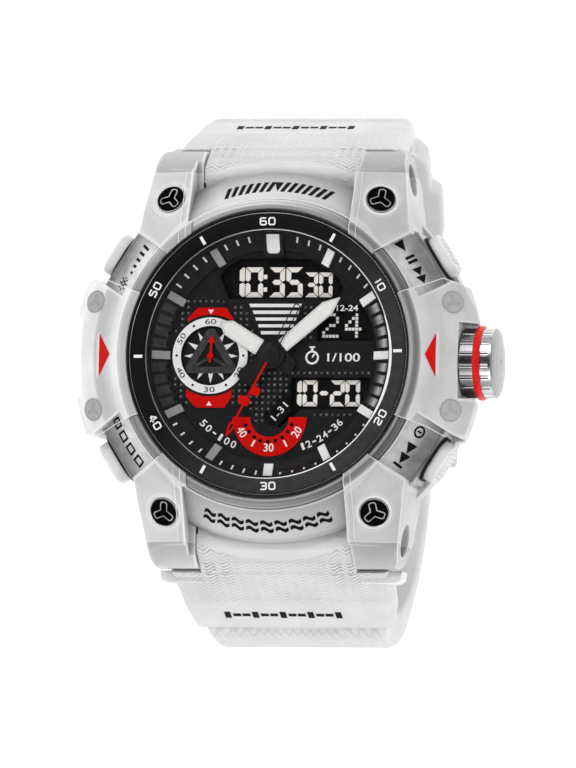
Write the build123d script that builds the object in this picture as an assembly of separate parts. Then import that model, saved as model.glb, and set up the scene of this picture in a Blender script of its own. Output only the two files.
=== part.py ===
from build123d import *
import os
from math import sin, cos, radians, pi, hypot, atan2, degrees

# Analogue-digital sports wristwatch, buckled and lying on the back of its strap loop.
# Frame: origin at the centre of the case back's outer face, +Z along the dial
# normal towards the crystal, +Y towards 12 o'clock, +X towards the crown.

# ---------------- driving dimensions (millimetres) ----------------
RING_TOP = 16.0        # height of the minute ring above the case back
RING_R_OUT = 18.77     # minute ring outer radius
RING_R_IN = 16.44      # minute ring inner radius
CASE_R = 24.8          # round middle case, outer radius
CAVITY_R = 16.3        # bore that holds the module
BACK_R = 18.8          # case back plate radius
BACK_T = 1.4           # case back plate thickness
BEAD_R = 19.62         # centre radius of the rounded bead round the ring
BEAD_ROUND = 0.84      # bead section radius
SLOPE_IN = (20.6, 15.15)   # label slope, inner edge (radius, height)
SLOPE_OUT = (24.4, 11.1)   # label slope, outer edge
SKIN = 0.32            # how far the frosted frame stands over the bead
LUG_GAP = 10.6         # half the gap between two lugs
LUG_END = 27.6         # lug tips, from the centre
BAR_Y = 23.9           # spring bar axis, from the centre
BAR_Z = 6.3            # spring bar axis height
BAR_R = 0.9            # spring bar tube radius
BAR_TIP_R = 0.45       # spring bar tip radius
BARREL_R = 3.3         # strap end barrel radius
SCREW_X, SCREW_Y, SCREW_Z = 14.15, 20.7, 13.0   # corner screw face centres
SCREW_R = 1.95         # corner screw head radius
PUSH_ANGLE = 32.0      # pusher axes, measured from the 3 o'clock line
PUSH_Z = 8.0           # pusher axis height
PUSH_TRAVEL = 0.9      # pusher stroke
CROWN_Y, CROWN_Z = -0.5, 8.5   # crown axis
CROWN_R = 4.75         # crown radius
CROWN_PULL = 1.0       # crown stroke
DIAL_TOP = 13.0        # dial surface height
DIAL_T = 0.8           # dial thickness
SUB_X = -8.4           # small dial centre
SUB_R_OUT, SUB_R_IN = 5.06, 3.95
GEAR_A = 3.0           # motion work centre distance
BASE_Z = -40.0         # lowest plane: keepers and buckle
RUN = 0.04             # radial running clearance of arbors


def out(name, shape):
    export_step(shape, f"parts/{name}.step")


def cyl(r, z0, z1, x=0.0, y=0.0):
    return Pos(x, y, (z0 + z1) / 2) * Cylinder(r, z1 - z0)


def tube(r_out, r_in, z0, z1, x=0.0, y=0.0):
    return cyl(r_out, z0, z1, x, y) - cyl(r_in, z0 - 1, z1 + 1, x, y)


def block(x0, x1, y0, y1, z0, z1):
    return Pos((x0 + x1) / 2, (y0 + y1) / 2, (z0 + z1) / 2) * Box(x1 - x0, y1 - y0, z1 - z0)


def face3(pts):
    return make_face(Polyline(*pts, close=True))


def prism_z(pts, z0, z1):
    return extrude(face3([(x, y, z0) for x, y in pts]), amount=z1 - z0, dir=(0, 0, 1))


def prism_x(pts, x0, x1):
    return extrude(face3([(x0, y, z) for y, z in pts]), amount=x1 - x0, dir=(1, 0, 0))


def prism_y(pts, y0, y1):
    return extrude(face3([(x, y0, z) for x, z in pts]), amount=y1 - y0, dir=(0, 1, 0))


def rev(pts):
    return revolve(face3([(r, 0, z) for r, z in pts]), axis=Axis.Z, revolution_arc=360)


def rev_edges(edges):
    return revolve(make_face(edges), axis=Axis.Z, revolution_arc=360)


def rev_about_x(pts, y, z):
    """Turn a (x, radius) outline about the line parallel to X through (y, z)."""
    f = face3([(x, 0, r) for x, r in pts])
    return Pos(0, y, z) * revolve(f, axis=Axis.X, revolution_arc=360)


def cyl_x(r, x0, x1, y, z):
    return Pos((x0 + x1) / 2, y, z) * Rot(0, 90, 0) * Cylinder(r, x1 - x0)


def turned(shape, deg):
    return Rot(0, 0, deg) * shape


def mirror_y(shape):
    return mirror(shape, about=Plane.XZ)


def mirror_x(shape):
    return mirror(shape, about=Plane.YZ)


# ---------------- middle case ----------------
# Round resin case: bore for the module, seat for the crystal and the minute ring,
# rounded bead, label slope, pusher bosses and the strap pockets.
bead_a = (BEAD_R - BEAD_ROUND, 15.2)
bead_b = (BEAD_R, 15.2 + BEAD_ROUND)
bead_c = (BEAD_R + BEAD_ROUND, 15.2)
core_edges = [
    Polyline((bead_c[0], 0, bead_c[1]), (bead_c[0], 0, 15.02), (SLOPE_IN[0], 0, SLOPE_IN[1]),
             (SLOPE_OUT[0], 0, SLOPE_OUT[1]), (CASE_R, 0, 10.4), (CASE_R, 0, 2.6),
             (22.9, 0, 0.3), (18.85, 0, 0.3), (18.85, 0, BACK_T), (CAVITY_R, 0, BACK_T),
             (CAVITY_R, 0, 14.6), (16.85, 0, 14.6), (16.85, 0, 15.0), (18.78, 0, 15.0), (bead_a[0], 0, bead_a[1])),
    ThreePointArc((bead_a[0], 0, bead_a[1]), (bead_b[0], 0, bead_b[1]), (bead_c[0], 0, bead_c[1])),
]
mid = rev_edges(core_edges)


def at_pusher(shape, k):
    """Place a shape drawn along +X at one of the four pushers."""
    ang = [PUSH_ANGLE, 180 - PUSH_ANGLE, 180 + PUSH_ANGLE, -PUSH_ANGLE][k]
    return turned(shape, ang)


boss = block(21.0, 24.78, -4.1, 4.1, 4.6, 11.2)
boss = boss - Pos(24.2, 0, 14.3) * Rot(0, 46.8, 0) * Box(9, 12, 3.2)
for k in range(4):
    mid += at_pusher(boss, k)
pocket = fillet(block(23.4, 27.0, -3.0, 3.0, PUSH_Z - 2.3, PUSH_Z + 2.3).edges().filter_by(Axis.X), 2.0)
collar_seat = fillet(block(24.3, 27.0, -3.35, 3.35, PUSH_Z - 2.65, PUSH_Z + 2.65).edges().filter_by(Axis.X), 2.3)
for k in range(4):
    mid -= at_pusher(pocket, k)
    mid -= at_pusher(collar_seat, k)
    mid -= at_pusher(cyl_x(1.7, 20.8, 24.0, 0, PUSH_Z), k)
    mid -= at_pusher(cyl_x(0.83, 15.0, 22.0, 0, PUSH_Z), k)
# crown tube bore
mid -= cyl_x(2.0, 19.0, 27.0, CROWN_Y, CROWN_Z)
mid -= cyl_x(1.2, 15.0, 20.0, CROWN_Y, CROWN_Z)
# strap pockets under the lip at 12 and 6 o'clock
for s in (1, -1):
    mid -= block(-LUG_GAP, LUG_GAP, min(s * 20.4, s * 30), max(s * 20.4, s * 30), -1, 10.6)
# recess for the case back and its four ears
EAR_R, EAR_AT = 2.2, 20.2
ears = []
for a in (45, 135, 225, 315):
    ears.append((EAR_AT * cos(radians(a)), EAR_AT * sin(radians(a))))
for x, y in ears:
    mid -= cyl(EAR_R + 0.05, -1, BACK_T, x, y)
    mid -= cyl(0.8, BACK_T - 0.1, 4.6, x, y)
# gasket groove for the case back
mid -= tube(17.9, 17.3, BACK_T - 0.1, 2.0)

# ---------------- frosted outer frame: four lugs and two guards ----------------


def envelope(pts_out):
    """Revolved body between the ring and an outer silhouette of (radius, height)."""
    return rev([(18.8, 1.0)] + pts_out + [(pts_out[-1][0], 1.0)])


bead_skin = [(18.8, 16.12), (19.1, 16.3), (19.62, 16.42), (20.2, 16.28), (20.62, 15.8)]
lug_env = envelope(bead_skin + [(22.0, 15.0), (24.2, 13.6), (26.0, 13.0), (32.6, 9.3)])
guard_env = envelope(bead_skin + [(22.9, 14.1), (23.4, 13.75), (26.0, 12.3), (27.5, 10.2)])
# the guard at 3 o'clock draws in towards its foot
guard_env_r = envelope(bead_skin + [(22.9, 14.1), (23.4, 13.75), (26.0, 12.3), (27.5, 10.2), (27.4, 9.4), (26.2, 2.0)])

lug_plan = [(LUG_GAP, 13.0), (13.1, 12.4), (14.2, 13.6), (18.3, 16.2), (17.9, 18.5), (17.0, 24.4), (16.6, 26.9), (16.15, LUG_END), (LUG_GAP, LUG_END)]
lug_side = [(11.0, 1.6), (23.6, 1.6), (26.6, 3.8), (27.6, 5.4), (27.6, 8.0), (25.0, 10.9), (24.0, 18.0), (11.0, 18.0)]
lug = prism_z(lug_plan, 1.6, 17.0) & prism_x(lug_side, 0, 20) & lug_env
# sloping top face of the lug through the screw centre
n_lug = Vector(0.25, 0.45, 1.0).normalized()
top_plane = Plane(origin=(SCREW_X, SCREW_Y, SCREW_Z), z_dir=n_lug)
cutter = top_plane * Pos(0, 0, 20) * Box(60, 60, 40)
keep_ring = cyl(20.9, 0, 30)
lug = lug - (cutter - keep_ring)

gr_plan = [(16.0, -7.6), (20.9, -9.3), (23.4, -10.6), (26.0, -10.1), (27.3, -6.3), (27.3, -5.55),
           (24.9, -5.55), (24.9, 4.55), (27.3, 4.55), (27.3, 5.3), (25.1, 9.6), (22.7, 10.3), (19.0, 8.7), (16.0, 7.4)]
gl_plan = [(-16.0, -7.5), (-20.9, -9.3), (-23.2, -10.5), (-26.2, -10.0), (-27.3, -8.4), (-27.3, -5.7), (-26.1, -4.9),
           (-26.1, 4.9), (-27.3, 5.7), (-27.3, 8.4), (-26.2, 9.9), (-23.2, 10.3), (-20.6, 9.2), (-16.0, 7.4)]
guard_r = prism_z(gr_plan, 2.4, 17.0) & guard_env_r
guard_l = prism_z(gl_plan, 2.4, 17.0) & guard_env
frame = lug + mirror_x(lug) + mirror_y(lug) + mirror_x(mirror_y(lug)) + guard_r + guard_l
# low hoop that ties lugs and guards together round the case wall
hoop = tube(25.5, CASE_R, 1.7, 4.3)
for s in (1, -1):
    hoop -= block(-LUG_GAP, LUG_GAP, min(s * 15, s * 30), max(s * 15, s * 30), -1, 12)
frame += hoop
frame -= rev([(0, 0), (0, 15.0), (18.8, 15.0), (18.8, 0)])
frame -= cyl(18.8, 0, 30)
# room for the case core: the exact core without its pockets
core_solid = rev_edges([
    Polyline((bead_c[0], 0, bead_c[1]), (bead_c[0], 0, 15.02), (SLOPE_IN[0], 0, SLOPE_IN[1]),
             (SLOPE_OUT[0], 0, SLOPE_OUT[1]), (CASE_R, 0, 10.4), (CASE_R, 0, 2.6),
             (22.9, 0, 0.3), (0, 0, 0.3), (0, 0, 15.2), (bead_a[0], 0, bead_a[1])),
    ThreePointArc((bead_a[0], 0, bead_a[1]), (bead_b[0], 0, bead_b[1]), (bead_c[0], 0, bead_c[1])),
])
frame -= core_solid
for k in range(4):
    frame -= at_pusher(block(21.0, 30.0, -4.12, 4.12, 4.6, 20.0), k)
# strap gap between the lugs, and the low bridge under it that ties the two halves
for s in (1, -1):
    frame -= block(-LUG_GAP, LUG_GAP, min(s * 17.5, s * 30), max(s * 17.5, s * 30), -1, 20)
    frame += block(-LUG_GAP, LUG_GAP, min(s * 20.4, s * 23.8), max(s * 20.4, s * 23.8), 1.6, 2.7)
# shallow step along the inner top edge of the two lugs on the 9 o'clock side
for s in (1, -1):
    frame -= block(-LUG_GAP - 0.8, -LUG_GAP + 0.5, min(s * 17.5, s * 30), max(s * 17.5, s * 30), 9.6, 20)
frame -= block(24.9, 28.0, CROWN_Y - 5.05, CROWN_Y + 5.05, 2.0, 16.0)
# crown tube bore, spring bar holes and their round side recesses, triangle recesses
frame -= cyl_x(2.0, 19.0, 27.0, CROWN_Y, CROWN_Z)
for s in (1, -1):
    frame -= cyl_x(0.5, -15.0, 15.0, s * BAR_Y, BAR_Z)
    for t in (1, -1):
        frame -= cyl_x(2.2, min(t * 14.9, t * 20), max(t * 14.9, t * 20), s * BAR_Y, BAR_Z + 0.5)
tri_r = [(21.05, 0.0), (22.3, 2.85), (22.3, -2.85)]
tri_l = [(-21.55, 0.0), (-23.25, 2.85), (-23.25, -2.85)]
tri_body = prism_z(tri_r, 13.2, 17.0) + prism_z(tri_l, 13.2, 17.0)
tri_env = rev([(20.7, 13.0), (20.7, 15.82), (22.9, 14.18), (23.4, 13.83), (23.7, 13.66), (23.7, 13.0)])
triangles = tri_body & tri_env
frame -= prism_z(tri_r, 13.2, 17.0) + prism_z(tri_l, 13.2, 17.0)

triangles -= core_solid

# corner screws: head seated in a shallow recess, three-arm slot, shank in the lug


def screw_place(sx, sy):
    n = Vector(0.25 * sx, 0.45 * sy, 1.0).normalized()
    return Plane(origin=(SCREW_X * sx, SCREW_Y * sy, SCREW_Z), x_dir=(1, 0, -n.X / n.Z), z_dir=n)


head_cut = Pos(0, 0, 0.0) * (cyl(2.4, -0.35, 3.0) + cyl(SCREW_R, -1.25, 0.0) + cyl(0.75, -5.5, 0.0))
screw = cyl(SCREW_R, -1.25, 0.0) + tube(SCREW_R, 1.66, -0.1, 0.16) + cyl(0.75, -5.4, -1.0)
arms = None
for k, a in enumerate((90, 210, 330)):
    arm = turned(block(0, 1.35, -0.42, 0.42, -0.01, 0.14), a)
    arms = arm if arms is None else arms + arm
slot = None
for k, a in enumerate((90, 210, 330)):
    arm = turned(block(0, 1.18, -0.25, 0.25, -0.35, 0.5), a)
    slot = arm if slot is None else slot + arm
screw = screw + arms - slot
screws = None
SCREW_TURN = {(1, 1): -10, (-1, 1): -14, (1, -1): 14, (-1, -1): -12}
for sx in (1, -1):
    for sy in (1, -1):
        pl = screw_place(sx, sy)
        frame -= pl * head_cut
        s = pl * turned(screw, SCREW_TURN[(sx, sy)])
        screws = s if screws is None else screws + s
# the screw shanks run on into the middle case
for sx in (1, -1):
    for sy in (1, -1):
        mid -= screw_place(sx, sy) * cyl(0.75, -5.5, 0.0)
        mid -= screw_place(sx, sy) * cyl(SCREW_R, -1.25, 0.0)

out("mid_case", mid)
out("bezel_frame", frame)
out("corner_screws", screws)
out("guard_triangles", triangles)

# ---------------- minute ring, crystal, flange ----------------
ring = rev([(RING_R_IN, 15.75), (16.85, 15.72), (16.85, 15.0), (18.74, 15.0), (18.74, 15.72),
            (18.5, 15.98), (16.66, RING_TOP), (RING_R_IN + 0.04, 15.9)])
out("minute_ring", ring)
out("crystal", cyl(16.2, 14.6, 15.45) + rev([(0, 15.4), (0, 15.72), (15.7, 15.72), (16.2, 15.4)]))
out("crystal_gasket", tube(16.84, 16.21, 14.6, 15.7))
flange = rev([(14.0, DIAL_TOP), (14.0, 13.25), (15.1, 13.75), (16.25, 14.58), (16.25, DIAL_TOP)])
# small gaps that divide the flange at the sides
for a in list(range(60, 121, 6)) + list(range(240, 301, 6)):
    if a % 30:
        flange -= turned(block(-0.16, 0.16, 13.9, 15.15, 13.05, 15.0), -a)
marks = None
for h in range(12):
    half, r0, r1 = 0.53, 13.75, 15.95
    if h == 0:
        half, r0, r1 = 1.06, 13.35, 15.95
    if h == 6:
        half, r0, r1 = 0.6, 14.35, 16.0
    top0 = 13.45 + max(0.0, (r0 - 13.75)) * 0.5
    m = prism_x([(r0, DIAL_TOP), (r1, DIAL_TOP), (r1, 14.55), (r0, top0 + 0.1)], -half, half)
    m = turned(m, -30 * h)
    flange -= turned(block(-half, half, r0, r1, 13.0, 15.0), -30 * h)
    marks = m if marks is None else marks + m
out("flange_ring", flange)
out("hour_markers", marks)

# ---------------- dial and its inlays ----------------
win_time = [(-6.1, 7.5), (8.7, 7.5), (9.4, 8.9), (8.7, 10.3), (6.9, 11.6), (4.6, 12.9), (-4.6, 12.9), (-6.6, 11.7), (-7.3, 10.6)]
win_matrix = [(5.9, 1.95), (13.55, 1.95), (13.3, 3.8), (12.5, 5.9), (11.9, 6.85), (5.9, 6.85)]
win_date = [(2.6, -2.85), (13.3, -2.85), (12.9, -4.6), (11.8, -7.05), (4.1, -7.05), (1.1, -9.55), (-0.7, -7.9), (2.6, -4.9)]
dial = cyl(16.2, DIAL_TOP - DIAL_T, DIAL_TOP)
for w in (win_time, win_matrix, win_date):
    dial -= prism_z(w, DIAL_TOP - DIAL_T - 1, DIAL_TOP + 1)
dial -= cyl(1.1, 10, 15) + cyl(0.5, 10, 15, SUB_X, 0)
dial -= cyl(SUB_R_IN, 12.5, 15, SUB_X, 0)
out("dial_plate", dial)
ARC_X, ARC_Y, ARC_IN, ARC_OUT = 0.05, -8.05, 2.67, 5.25
arc = tube(ARC_OUT, ARC_IN, DIAL_TOP, DIAL_TOP + 0.14, ARC_X, ARC_Y) - block(-10, 10, ARC_Y + 0.15, 0, 12, 15)
trap_t = prism_z([(-10.4, 6.66), (-6.4, 6.66), (-5.35, 4.95), (-5.6, 4.4), (-11.2, 4.4), (-11.45, 4.95)], DIAL_TOP, DIAL_TOP + 0.14)
trap_b = mirror_y(trap_t)
inlays = (trap_t + trap_b) - cyl(5.22, 12, 15, SUB_X, 0) + arc
out("dial_inlays", inlays)
out("subdial_ring", tube(SUB_R_OUT, SUB_R_IN, DIAL_TOP, DIAL_TOP + 0.14, SUB_X, 0))
tri_o = [(SUB_X - 0.45, 3.6), (SUB_X + 0.45, 3.6), (SUB_X + 3.45, -1.6), (SUB_X + 3.1, -2.3), (SUB_X - 3.1, -2.3), (SUB_X - 3.45, -1.6)]
tri_i = [(SUB_X, 2.35), (SUB_X + 2.3, -1.45), (SUB_X - 2.3, -1.45)]
subtri = prism_z(tri_o, 12.5, 12.74) - prism_z(tri_i, 12, 13)
for a in (90, 210, 330):
    subtri += Pos(SUB_X, -0.15, 0) * turned(block(0, 2.4, -0.2, 0.2, 12.5, 12.7), a)
subtri -= cyl(0.5, 12, 13, SUB_X, 0)
out("subdial_frame", subtri)
lcd = cyl(14.95, 11.2, 12.2) - cyl(1.3, 11, 13) - cyl(0.6, 11, 13, SUB_X, 0)
out("lcd_panel", lcd)

# ---------------- module ----------------
mf = tube(15.9, 15.0, 1.65, 11.15) + cyl(15.4, 7.4, 8.2) + tube(15.4, 14.3, 4.6, 5.2)
for s in (1, -1):
    mf -= block(-5.1, 5.1, s * 13.2 - 0.65, s * 13.2 + 0.65, 7, 9)
mf -= cyl(0.42, 7, 9)
mf += cyl(0.26, 8.1, 10.8, 0, -GEAR_A)
mf += tube(0.9, 0.40, 8.1, 8.55)
mf += tube(0.8, 0.39, 8.1, 9.8, SUB_X, 0)
mf -= cyl(0.39, 7.6, 9.9, SUB_X, 0)
# pocket and bore for the crown stem and the setting lever
mf -= block(13.2, 17.0, CROWN_Y - 2.8, CROWN_Y + 2.3, 8.3, 12.0)
mf -= block(13.2, 15.4, CROWN_Y - 2.8, CROWN_Y + 2.3, 6.0, 12.0)
mf -= cyl_x(1.12, 12.4, 17.0, CROWN_Y, CROWN_Z)
mf += block(11.4, 13.0, CROWN_Y - 1.8, CROWN_Y + 1.8, 8.1, 10.9)
mf -= cyl_x(1.04, 12.2, 17.0, CROWN_Y, CROWN_Z)
# clearance where the pusher stems reach the contact springs
out("movement_frame", mf)
board = cyl(14.9, 5.2, 6.0)
board -= block(13.0, 16.0, CROWN_Y - 3.0, CROWN_Y + 2.5, 5, 7)
out("circuit_board", board)
out("zebra_strips", block(-5, 5, 12.6, 13.8, 6.0, 11.2) + block(-5, 5, -13.8, -12.6, 6.0, 11.2))
out("battery", fillet(cyl(8.0, 2.2, 4.2, 0, -4.5).edges(), 0.25))
clip = block(-9.2, 9.2, -6.0, -3.0, 1.75, 2.15) + block(-9.2, -8.6, -6.0, -3.0, 1.75, 5.2) + block(8.6, 9.2, -6.0, -3.0, 1.75, 5.2)
out("battery_clip", clip)
out("buzzer", cyl(4.6, 1.4, 1.62, 0, 9.6) + cyl(3.2, 1.6, 1.8, 0, 9.6))
coils, stators = None, None
for x, y, rot in ((8.0, 6.0, 35), (7.6, -7.0, -35), (-8.6, 7.0, 155)):
    pl = Pos(x, y, 0) * Rot(0, 0, rot)
    c = pl * (cyl_x(1.05, -2.6, 2.6, 0, 9.9) - cyl_x(0.42, -3, 3, 0, 9.9) + cyl_x(1.25, -3.0, -2.6, 0, 9.9) - cyl_x(0.42, -4, 4, 0, 9.9) + cyl_x(1.25, 2.6, 3.0, 0, 9.9) - cyl_x(0.42, -4, 4, 0, 9.9))
    s = pl * (block(-3.6, 3.6, -1.5, 1.0, 8.2, 8.6) - cyl(0.8, 8, 9, 1.2, -0.3) + cyl_x(0.40, -3.5, 3.5, 0, 9.9) + block(-3.6, -3.1, -0.42, 0.42, 8.2, 10.3) + block(3.1, 3.6, -0.42, 0.42, 8.2, 10.3))
    coils = c if coils is None else coils + c
    stators = s if stators is None else stators + s
out("motor_coils", coils)
out("motor_stators", stators)

# ---------------- case back ----------------
back = cyl(BACK_R, 0.0, BACK_T)
for x, y in ears:
    back += cyl(EAR_R, 0.0, BACK_T, x, y)
back = back - tube(16.2, 15.6, -1, 0.22) - tube(11.0, 10.6, -1, 0.15)
for x, y in ears:
    back -= cyl(1.45, -1, 0.8, x, y) + cyl(0.85, 0, 3, x, y)
out("case_back", back)
out("case_back_gasket", tube(17.9, 17.3, BACK_T, 2.0))
bs = None
for x, y in ears:
    s = cyl(1.42, 0.06, 0.8, x, y) + cyl(0.79, 0.7, 4.4, x, y) - Pos(x, y, 0.1) * Box(2.0, 0.35, 0.5)
    s = s - Pos(x, y, 0.1) * Box(0.35, 2.0, 0.5)
    bs = s if bs is None else bs + s
out("case_back_screws", bs)

# ---------------- pushers ----------------
names = ["pusher_2", "pusher_10", "pusher_8", "pusher_4"]
cap = fillet(block(24.5, 26.8, -2.93, 2.93, PUSH_Z - 2.23, PUSH_Z + 2.23).edges().filter_by(Axis.X), 1.95)
cap = cap - cyl_x(1.8, 24.0, 25.2, 0, PUSH_Z) + cyl_x(1.0, 24.5, 25.4, 0, PUSH_Z)
cap = fillet(cap.faces().sort_by(Axis.X)[-1].edges(), 0.45)
for i in range(-4, 5):
    cap -= block(26.62, 27.0, i * 0.62 - 0.14, i * 0.62 + 0.14, PUSH_Z - 3, PUSH_Z + 3)
for i in range(-3, 4):
    cap -= block(26.62, 27.0, -4, 4, PUSH_Z + i * 0.62 - 0.14, PUSH_Z + i * 0.62 + 0.14)
cap = cap - cyl_x(0.8, 24.0, 26.0, 0, PUSH_Z)
stem = cyl_x(0.8, 16.95, 26.0, 0, PUSH_Z)
collar = fillet(block(24.3, 25.15, -3.33, 3.33, PUSH_Z - 2.63, PUSH_Z + 2.63).edges().filter_by(Axis.X), 2.28)
collar -= fillet(block(24.0, 26.0, -2.97, 2.97, PUSH_Z - 2.27, PUSH_Z + 2.27).edges().filter_by(Axis.X), 1.98)
coil = cyl_x(1.62, 20.82, 25.15, 0, PUSH_Z) - cyl_x(1.12, 20, 26, 0, PUSH_Z)
collars, springs = None, None
for k in range(4):
    out(names[k] + "_cap", at_pusher(cap, k))
    out(names[k] + "_stem", at_pusher(stem, k))
    c, s = at_pusher(collar, k), at_pusher(coil, k)
    collars = c if collars is None else collars + c
    springs = s if springs is None else springs + s
out("pusher_collars", collars)
out("pusher_springs", springs)

# ---------------- crown ----------------
def crown_turn(pts):
    return rev_about_x(pts, CROWN_Y, CROWN_Z)


cap = crown_turn([(24.97, 0), (24.97, 4.35), (25.15, 4.6), (26.86, 4.6), (26.86, 4.25), (27.84, 4.25), (27.84, 4.6),
                  (29.3, 4.6), (29.48, 4.42), (29.66, 3.7), (29.8, 2.3), (29.86, 0)])
for i in range(18):
    a = radians(i * 20)
    flute = cyl_x(0.42, 24.0, 28.95, CROWN_Y + 4.82 * cos(a), CROWN_Z + 4.82 * sin(a))
    cap -= flute
cap -= crown_turn([(24.0, 0), (24.0, 0.95), (28.0, 0.95), (28.0, 0)])
out("crown_cap", cap)
ring_r = [(26.88, 4.26), (26.88, 4.74), (27.06, 4.9), (27.35, 4.98), (27.64, 4.9), (27.82, 4.74), (27.82, 4.26)]
out("crown_ring", crown_turn(ring_r))
stem = crown_turn([(12.5, 0), (12.5, 0.98), (13.6, 0.98), (13.6, 0.6), (14.2, 0.6), (14.2, 0.98), (22.0, 0.98), (22.0, 0.7),
                   (22.6, 0.7), (22.6, 0.98), (24.0, 0.98), (24.0, 0.95), (28.0, 0.95), (28.0, 0)])
out("crown_stem", stem)
out("crown_gasket", crown_turn([(22.03, 0.71), (22.03, 1.01), (22.57, 1.01), (22.57, 0.71)]))
out("crown_tube", crown_turn([(19.95, 1.03), (19.95, 2.0), (24.88, 2.0), (24.88, 1.03)]))
lever = block(13.66, 14.14, CROWN_Y - 2.4, CROWN_Y + 1.9, 6.3, 10.9)
lever -= block(13.0, 15.0, CROWN_Y - 0.66, CROWN_Y + 0.66, CROWN_Z - 0.1, 12.0)
lever -= cyl_x(0.66, 13.0, 15.0, CROWN_Y, CROWN_Z)
out("setting_lever", lever)

# ---------------- motion work and hands ----------------


def gear_outline(teeth, module, turn_deg=0.0, fat=0.36, tip=0.2):
    rp = teeth * module / 2
    ra, rf = rp + 0.82 * module, rp - 1.15 * module
    pts = []
    p = 2 * pi / teeth
    t0 = radians(turn_deg)
    for i in range(teeth):
        c = t0 + i * p
        for r, w in ((rf, -0.52 * p * 0.5), (rp, -fat * p / 2), (ra, -tip * p / 2), (ra, tip * p / 2), (rp, fat * p / 2), (rf, 0.52 * p * 0.5)):
            pts.append((r * cos(c + w), r * sin(c + w)))
    return pts


M1 = 2 * GEAR_A / (12 + 36)
M2 = 2 * GEAR_A / (10 + 40)
MIN_ANG, HOUR_ANG, SEC_ANG, SUB_ANG = 49.9, 302.0, 208.2, 4.0
# cannon pinion 12 teeth meets the 36-tooth motion wheel on the line towards 6 o'clock
# a tooth of the motion wheel points at the pinion (+Y from its centre), a space of the pinion faces it
pin_phase = -90 + 15
wheel36 = Pos(0, -GEAR_A, 0) * prism_z(gear_outline(36, M1, 90), 9.0, 9.25)
pin10 = Pos(0, -GEAR_A, 0) * prism_z(gear_outline(10, M2, 90), 9.25, 10.3)
mwheel = wheel36 + pin10 - cyl(0.30, 8, 11, 0, -GEAR_A)
out("motion_wheel", mwheel)
cannon = prism_z(gear_outline(12, M1, pin_phase), 8.85, 9.35) + cyl(0.66, 9.35, 14.0) - cyl(0.42, 8, 15)
out("cannon_pinion", cannon)
hw = prism_z(gear_outline(40, M2, -90 + 4.5), 9.95, 10.2) + cyl(0.95, 10.2, 13.62) - cyl(0.70, 9, 15)
out("hour_wheel", hw)
out("seconds_arbor", cyl(0.38, 7.6, 14.35) + cyl(0.8, 7.0, 7.35) + cyl(0.38, 7.2, 7.7))


def hand(pts, z0, z1, hub_r, bore_r, ang):
    h = prism_z(pts, z0, z1) + cyl(hub_r, z0, z1)
    h -= cyl(bore_r, z0 - 1, z1 + 1)
    return turned(h, -ang)


hour = hand([(-1.1, -3.4), (1.1, -3.4), (1.28, -3.0), (1.28, 7.3), (0.75, 8.1), (0.0, 8.85), (-0.75, 8.1), (-1.28, 7.3), (-1.28, -3.0)],
            13.3, 13.5, 1.6, 0.95, HOUR_ANG)
out("hour_hand", hour)
minute = hand([(-0.8, -5.1), (0.8, -5.1), (1.15, -4.6), (1.15, -1.5), (0.98, 2.0), (0.98, 10.8), (0.35, 12.2), (-0.35, 12.2), (-0.98, 10.8), (-0.98, 2.0), (-1.15, -1.5), (-1.15, -4.6)],
              13.74, 13.92, 1.5, 0.66, MIN_ANG)
out("minute_hand", minute)
sec = hand([(-0.26, -7.6), (0.26, -7.6), (0.26, -2.4), (0.16, 0), (0.16, 4.5), (0.62, 4.6), (0.62, 5.5), (0.14, 5.7), (0.14, 6.6), (0.72, 6.8), (0.72, 7.6),
            (0.14, 7.9), (0.14, 8.9), (0.62, 10.4), (0.34, 11.9), (0, 12.1), (-0.34, 11.9), (-0.62, 10.4), (-0.14, 8.9), (-0.14, 7.9), (-0.72, 7.6), (-0.72, 6.8), (-0.14, 6.6),
            (-0.14, 5.7), (-0.62, 5.5), (-0.62, 4.6), (-0.16, 4.5), (-0.16, 0), (-0.26, -2.4)], 14.12, 14.26, 0.85, 0.38, SEC_ANG)
out("second_hand", sec)
sub = prism_z([(-0.16, -0.9), (0.16, -0.9), (0.12, 1.7), (0.5, 1.75), (0.0, 2.75), (-0.5, 1.75), (-0.12, 1.7)], 12.86, 12.96)
sub = sub + cyl(0.42, 12.86, 12.96) + cyl(0.35, 8.6, 13.02)
sub = Pos(SUB_X, 0, 0) * Rot(0, 0, -SUB_ANG) * sub
out("subdial_hand", sub)

# ---------------- strap, spring bars, buckle, keepers ----------------


def smooth(pts, n):
    """Points on a smooth curve through pts, n per span."""
    out_pts = []
    m = len(pts)
    for i in range(m - 1):
        p0, p1, p2, p3 = pts[max(i - 1, 0)], pts[i], pts[i + 1], pts[min(i + 2, m - 1)]
        for k in range(n):
            t = k / n
            q = []
            for c in (0, 1):
                a, b, d, e = p0[c], p1[c], p2[c], p3[c]
                q.append(0.5 * (2 * b + (d - a) * t + (2 * a - 5 * b + 4 * d - e) * t * t + (3 * b - a - 3 * d + e) * t ** 3))
            out_pts.append(tuple(q))
    out_pts.append(pts[-1])
    return out_pts


def offset_line(pts, thick):
    """Inner surface points: each outer point moved towards the wrist by its thickness."""
    res = []
    for i, p in enumerate(pts):
        a, b = pts[max(i - 1, 0)], pts[min(i + 1, len(pts) - 1)]
        ty, tz = b[0] - a[0], b[1] - a[1]
        L = hypot(ty, tz)
        t = thick[i]
        res.append((p[0] + t * tz / L, p[1] - t * ty / L))
    return res


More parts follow.
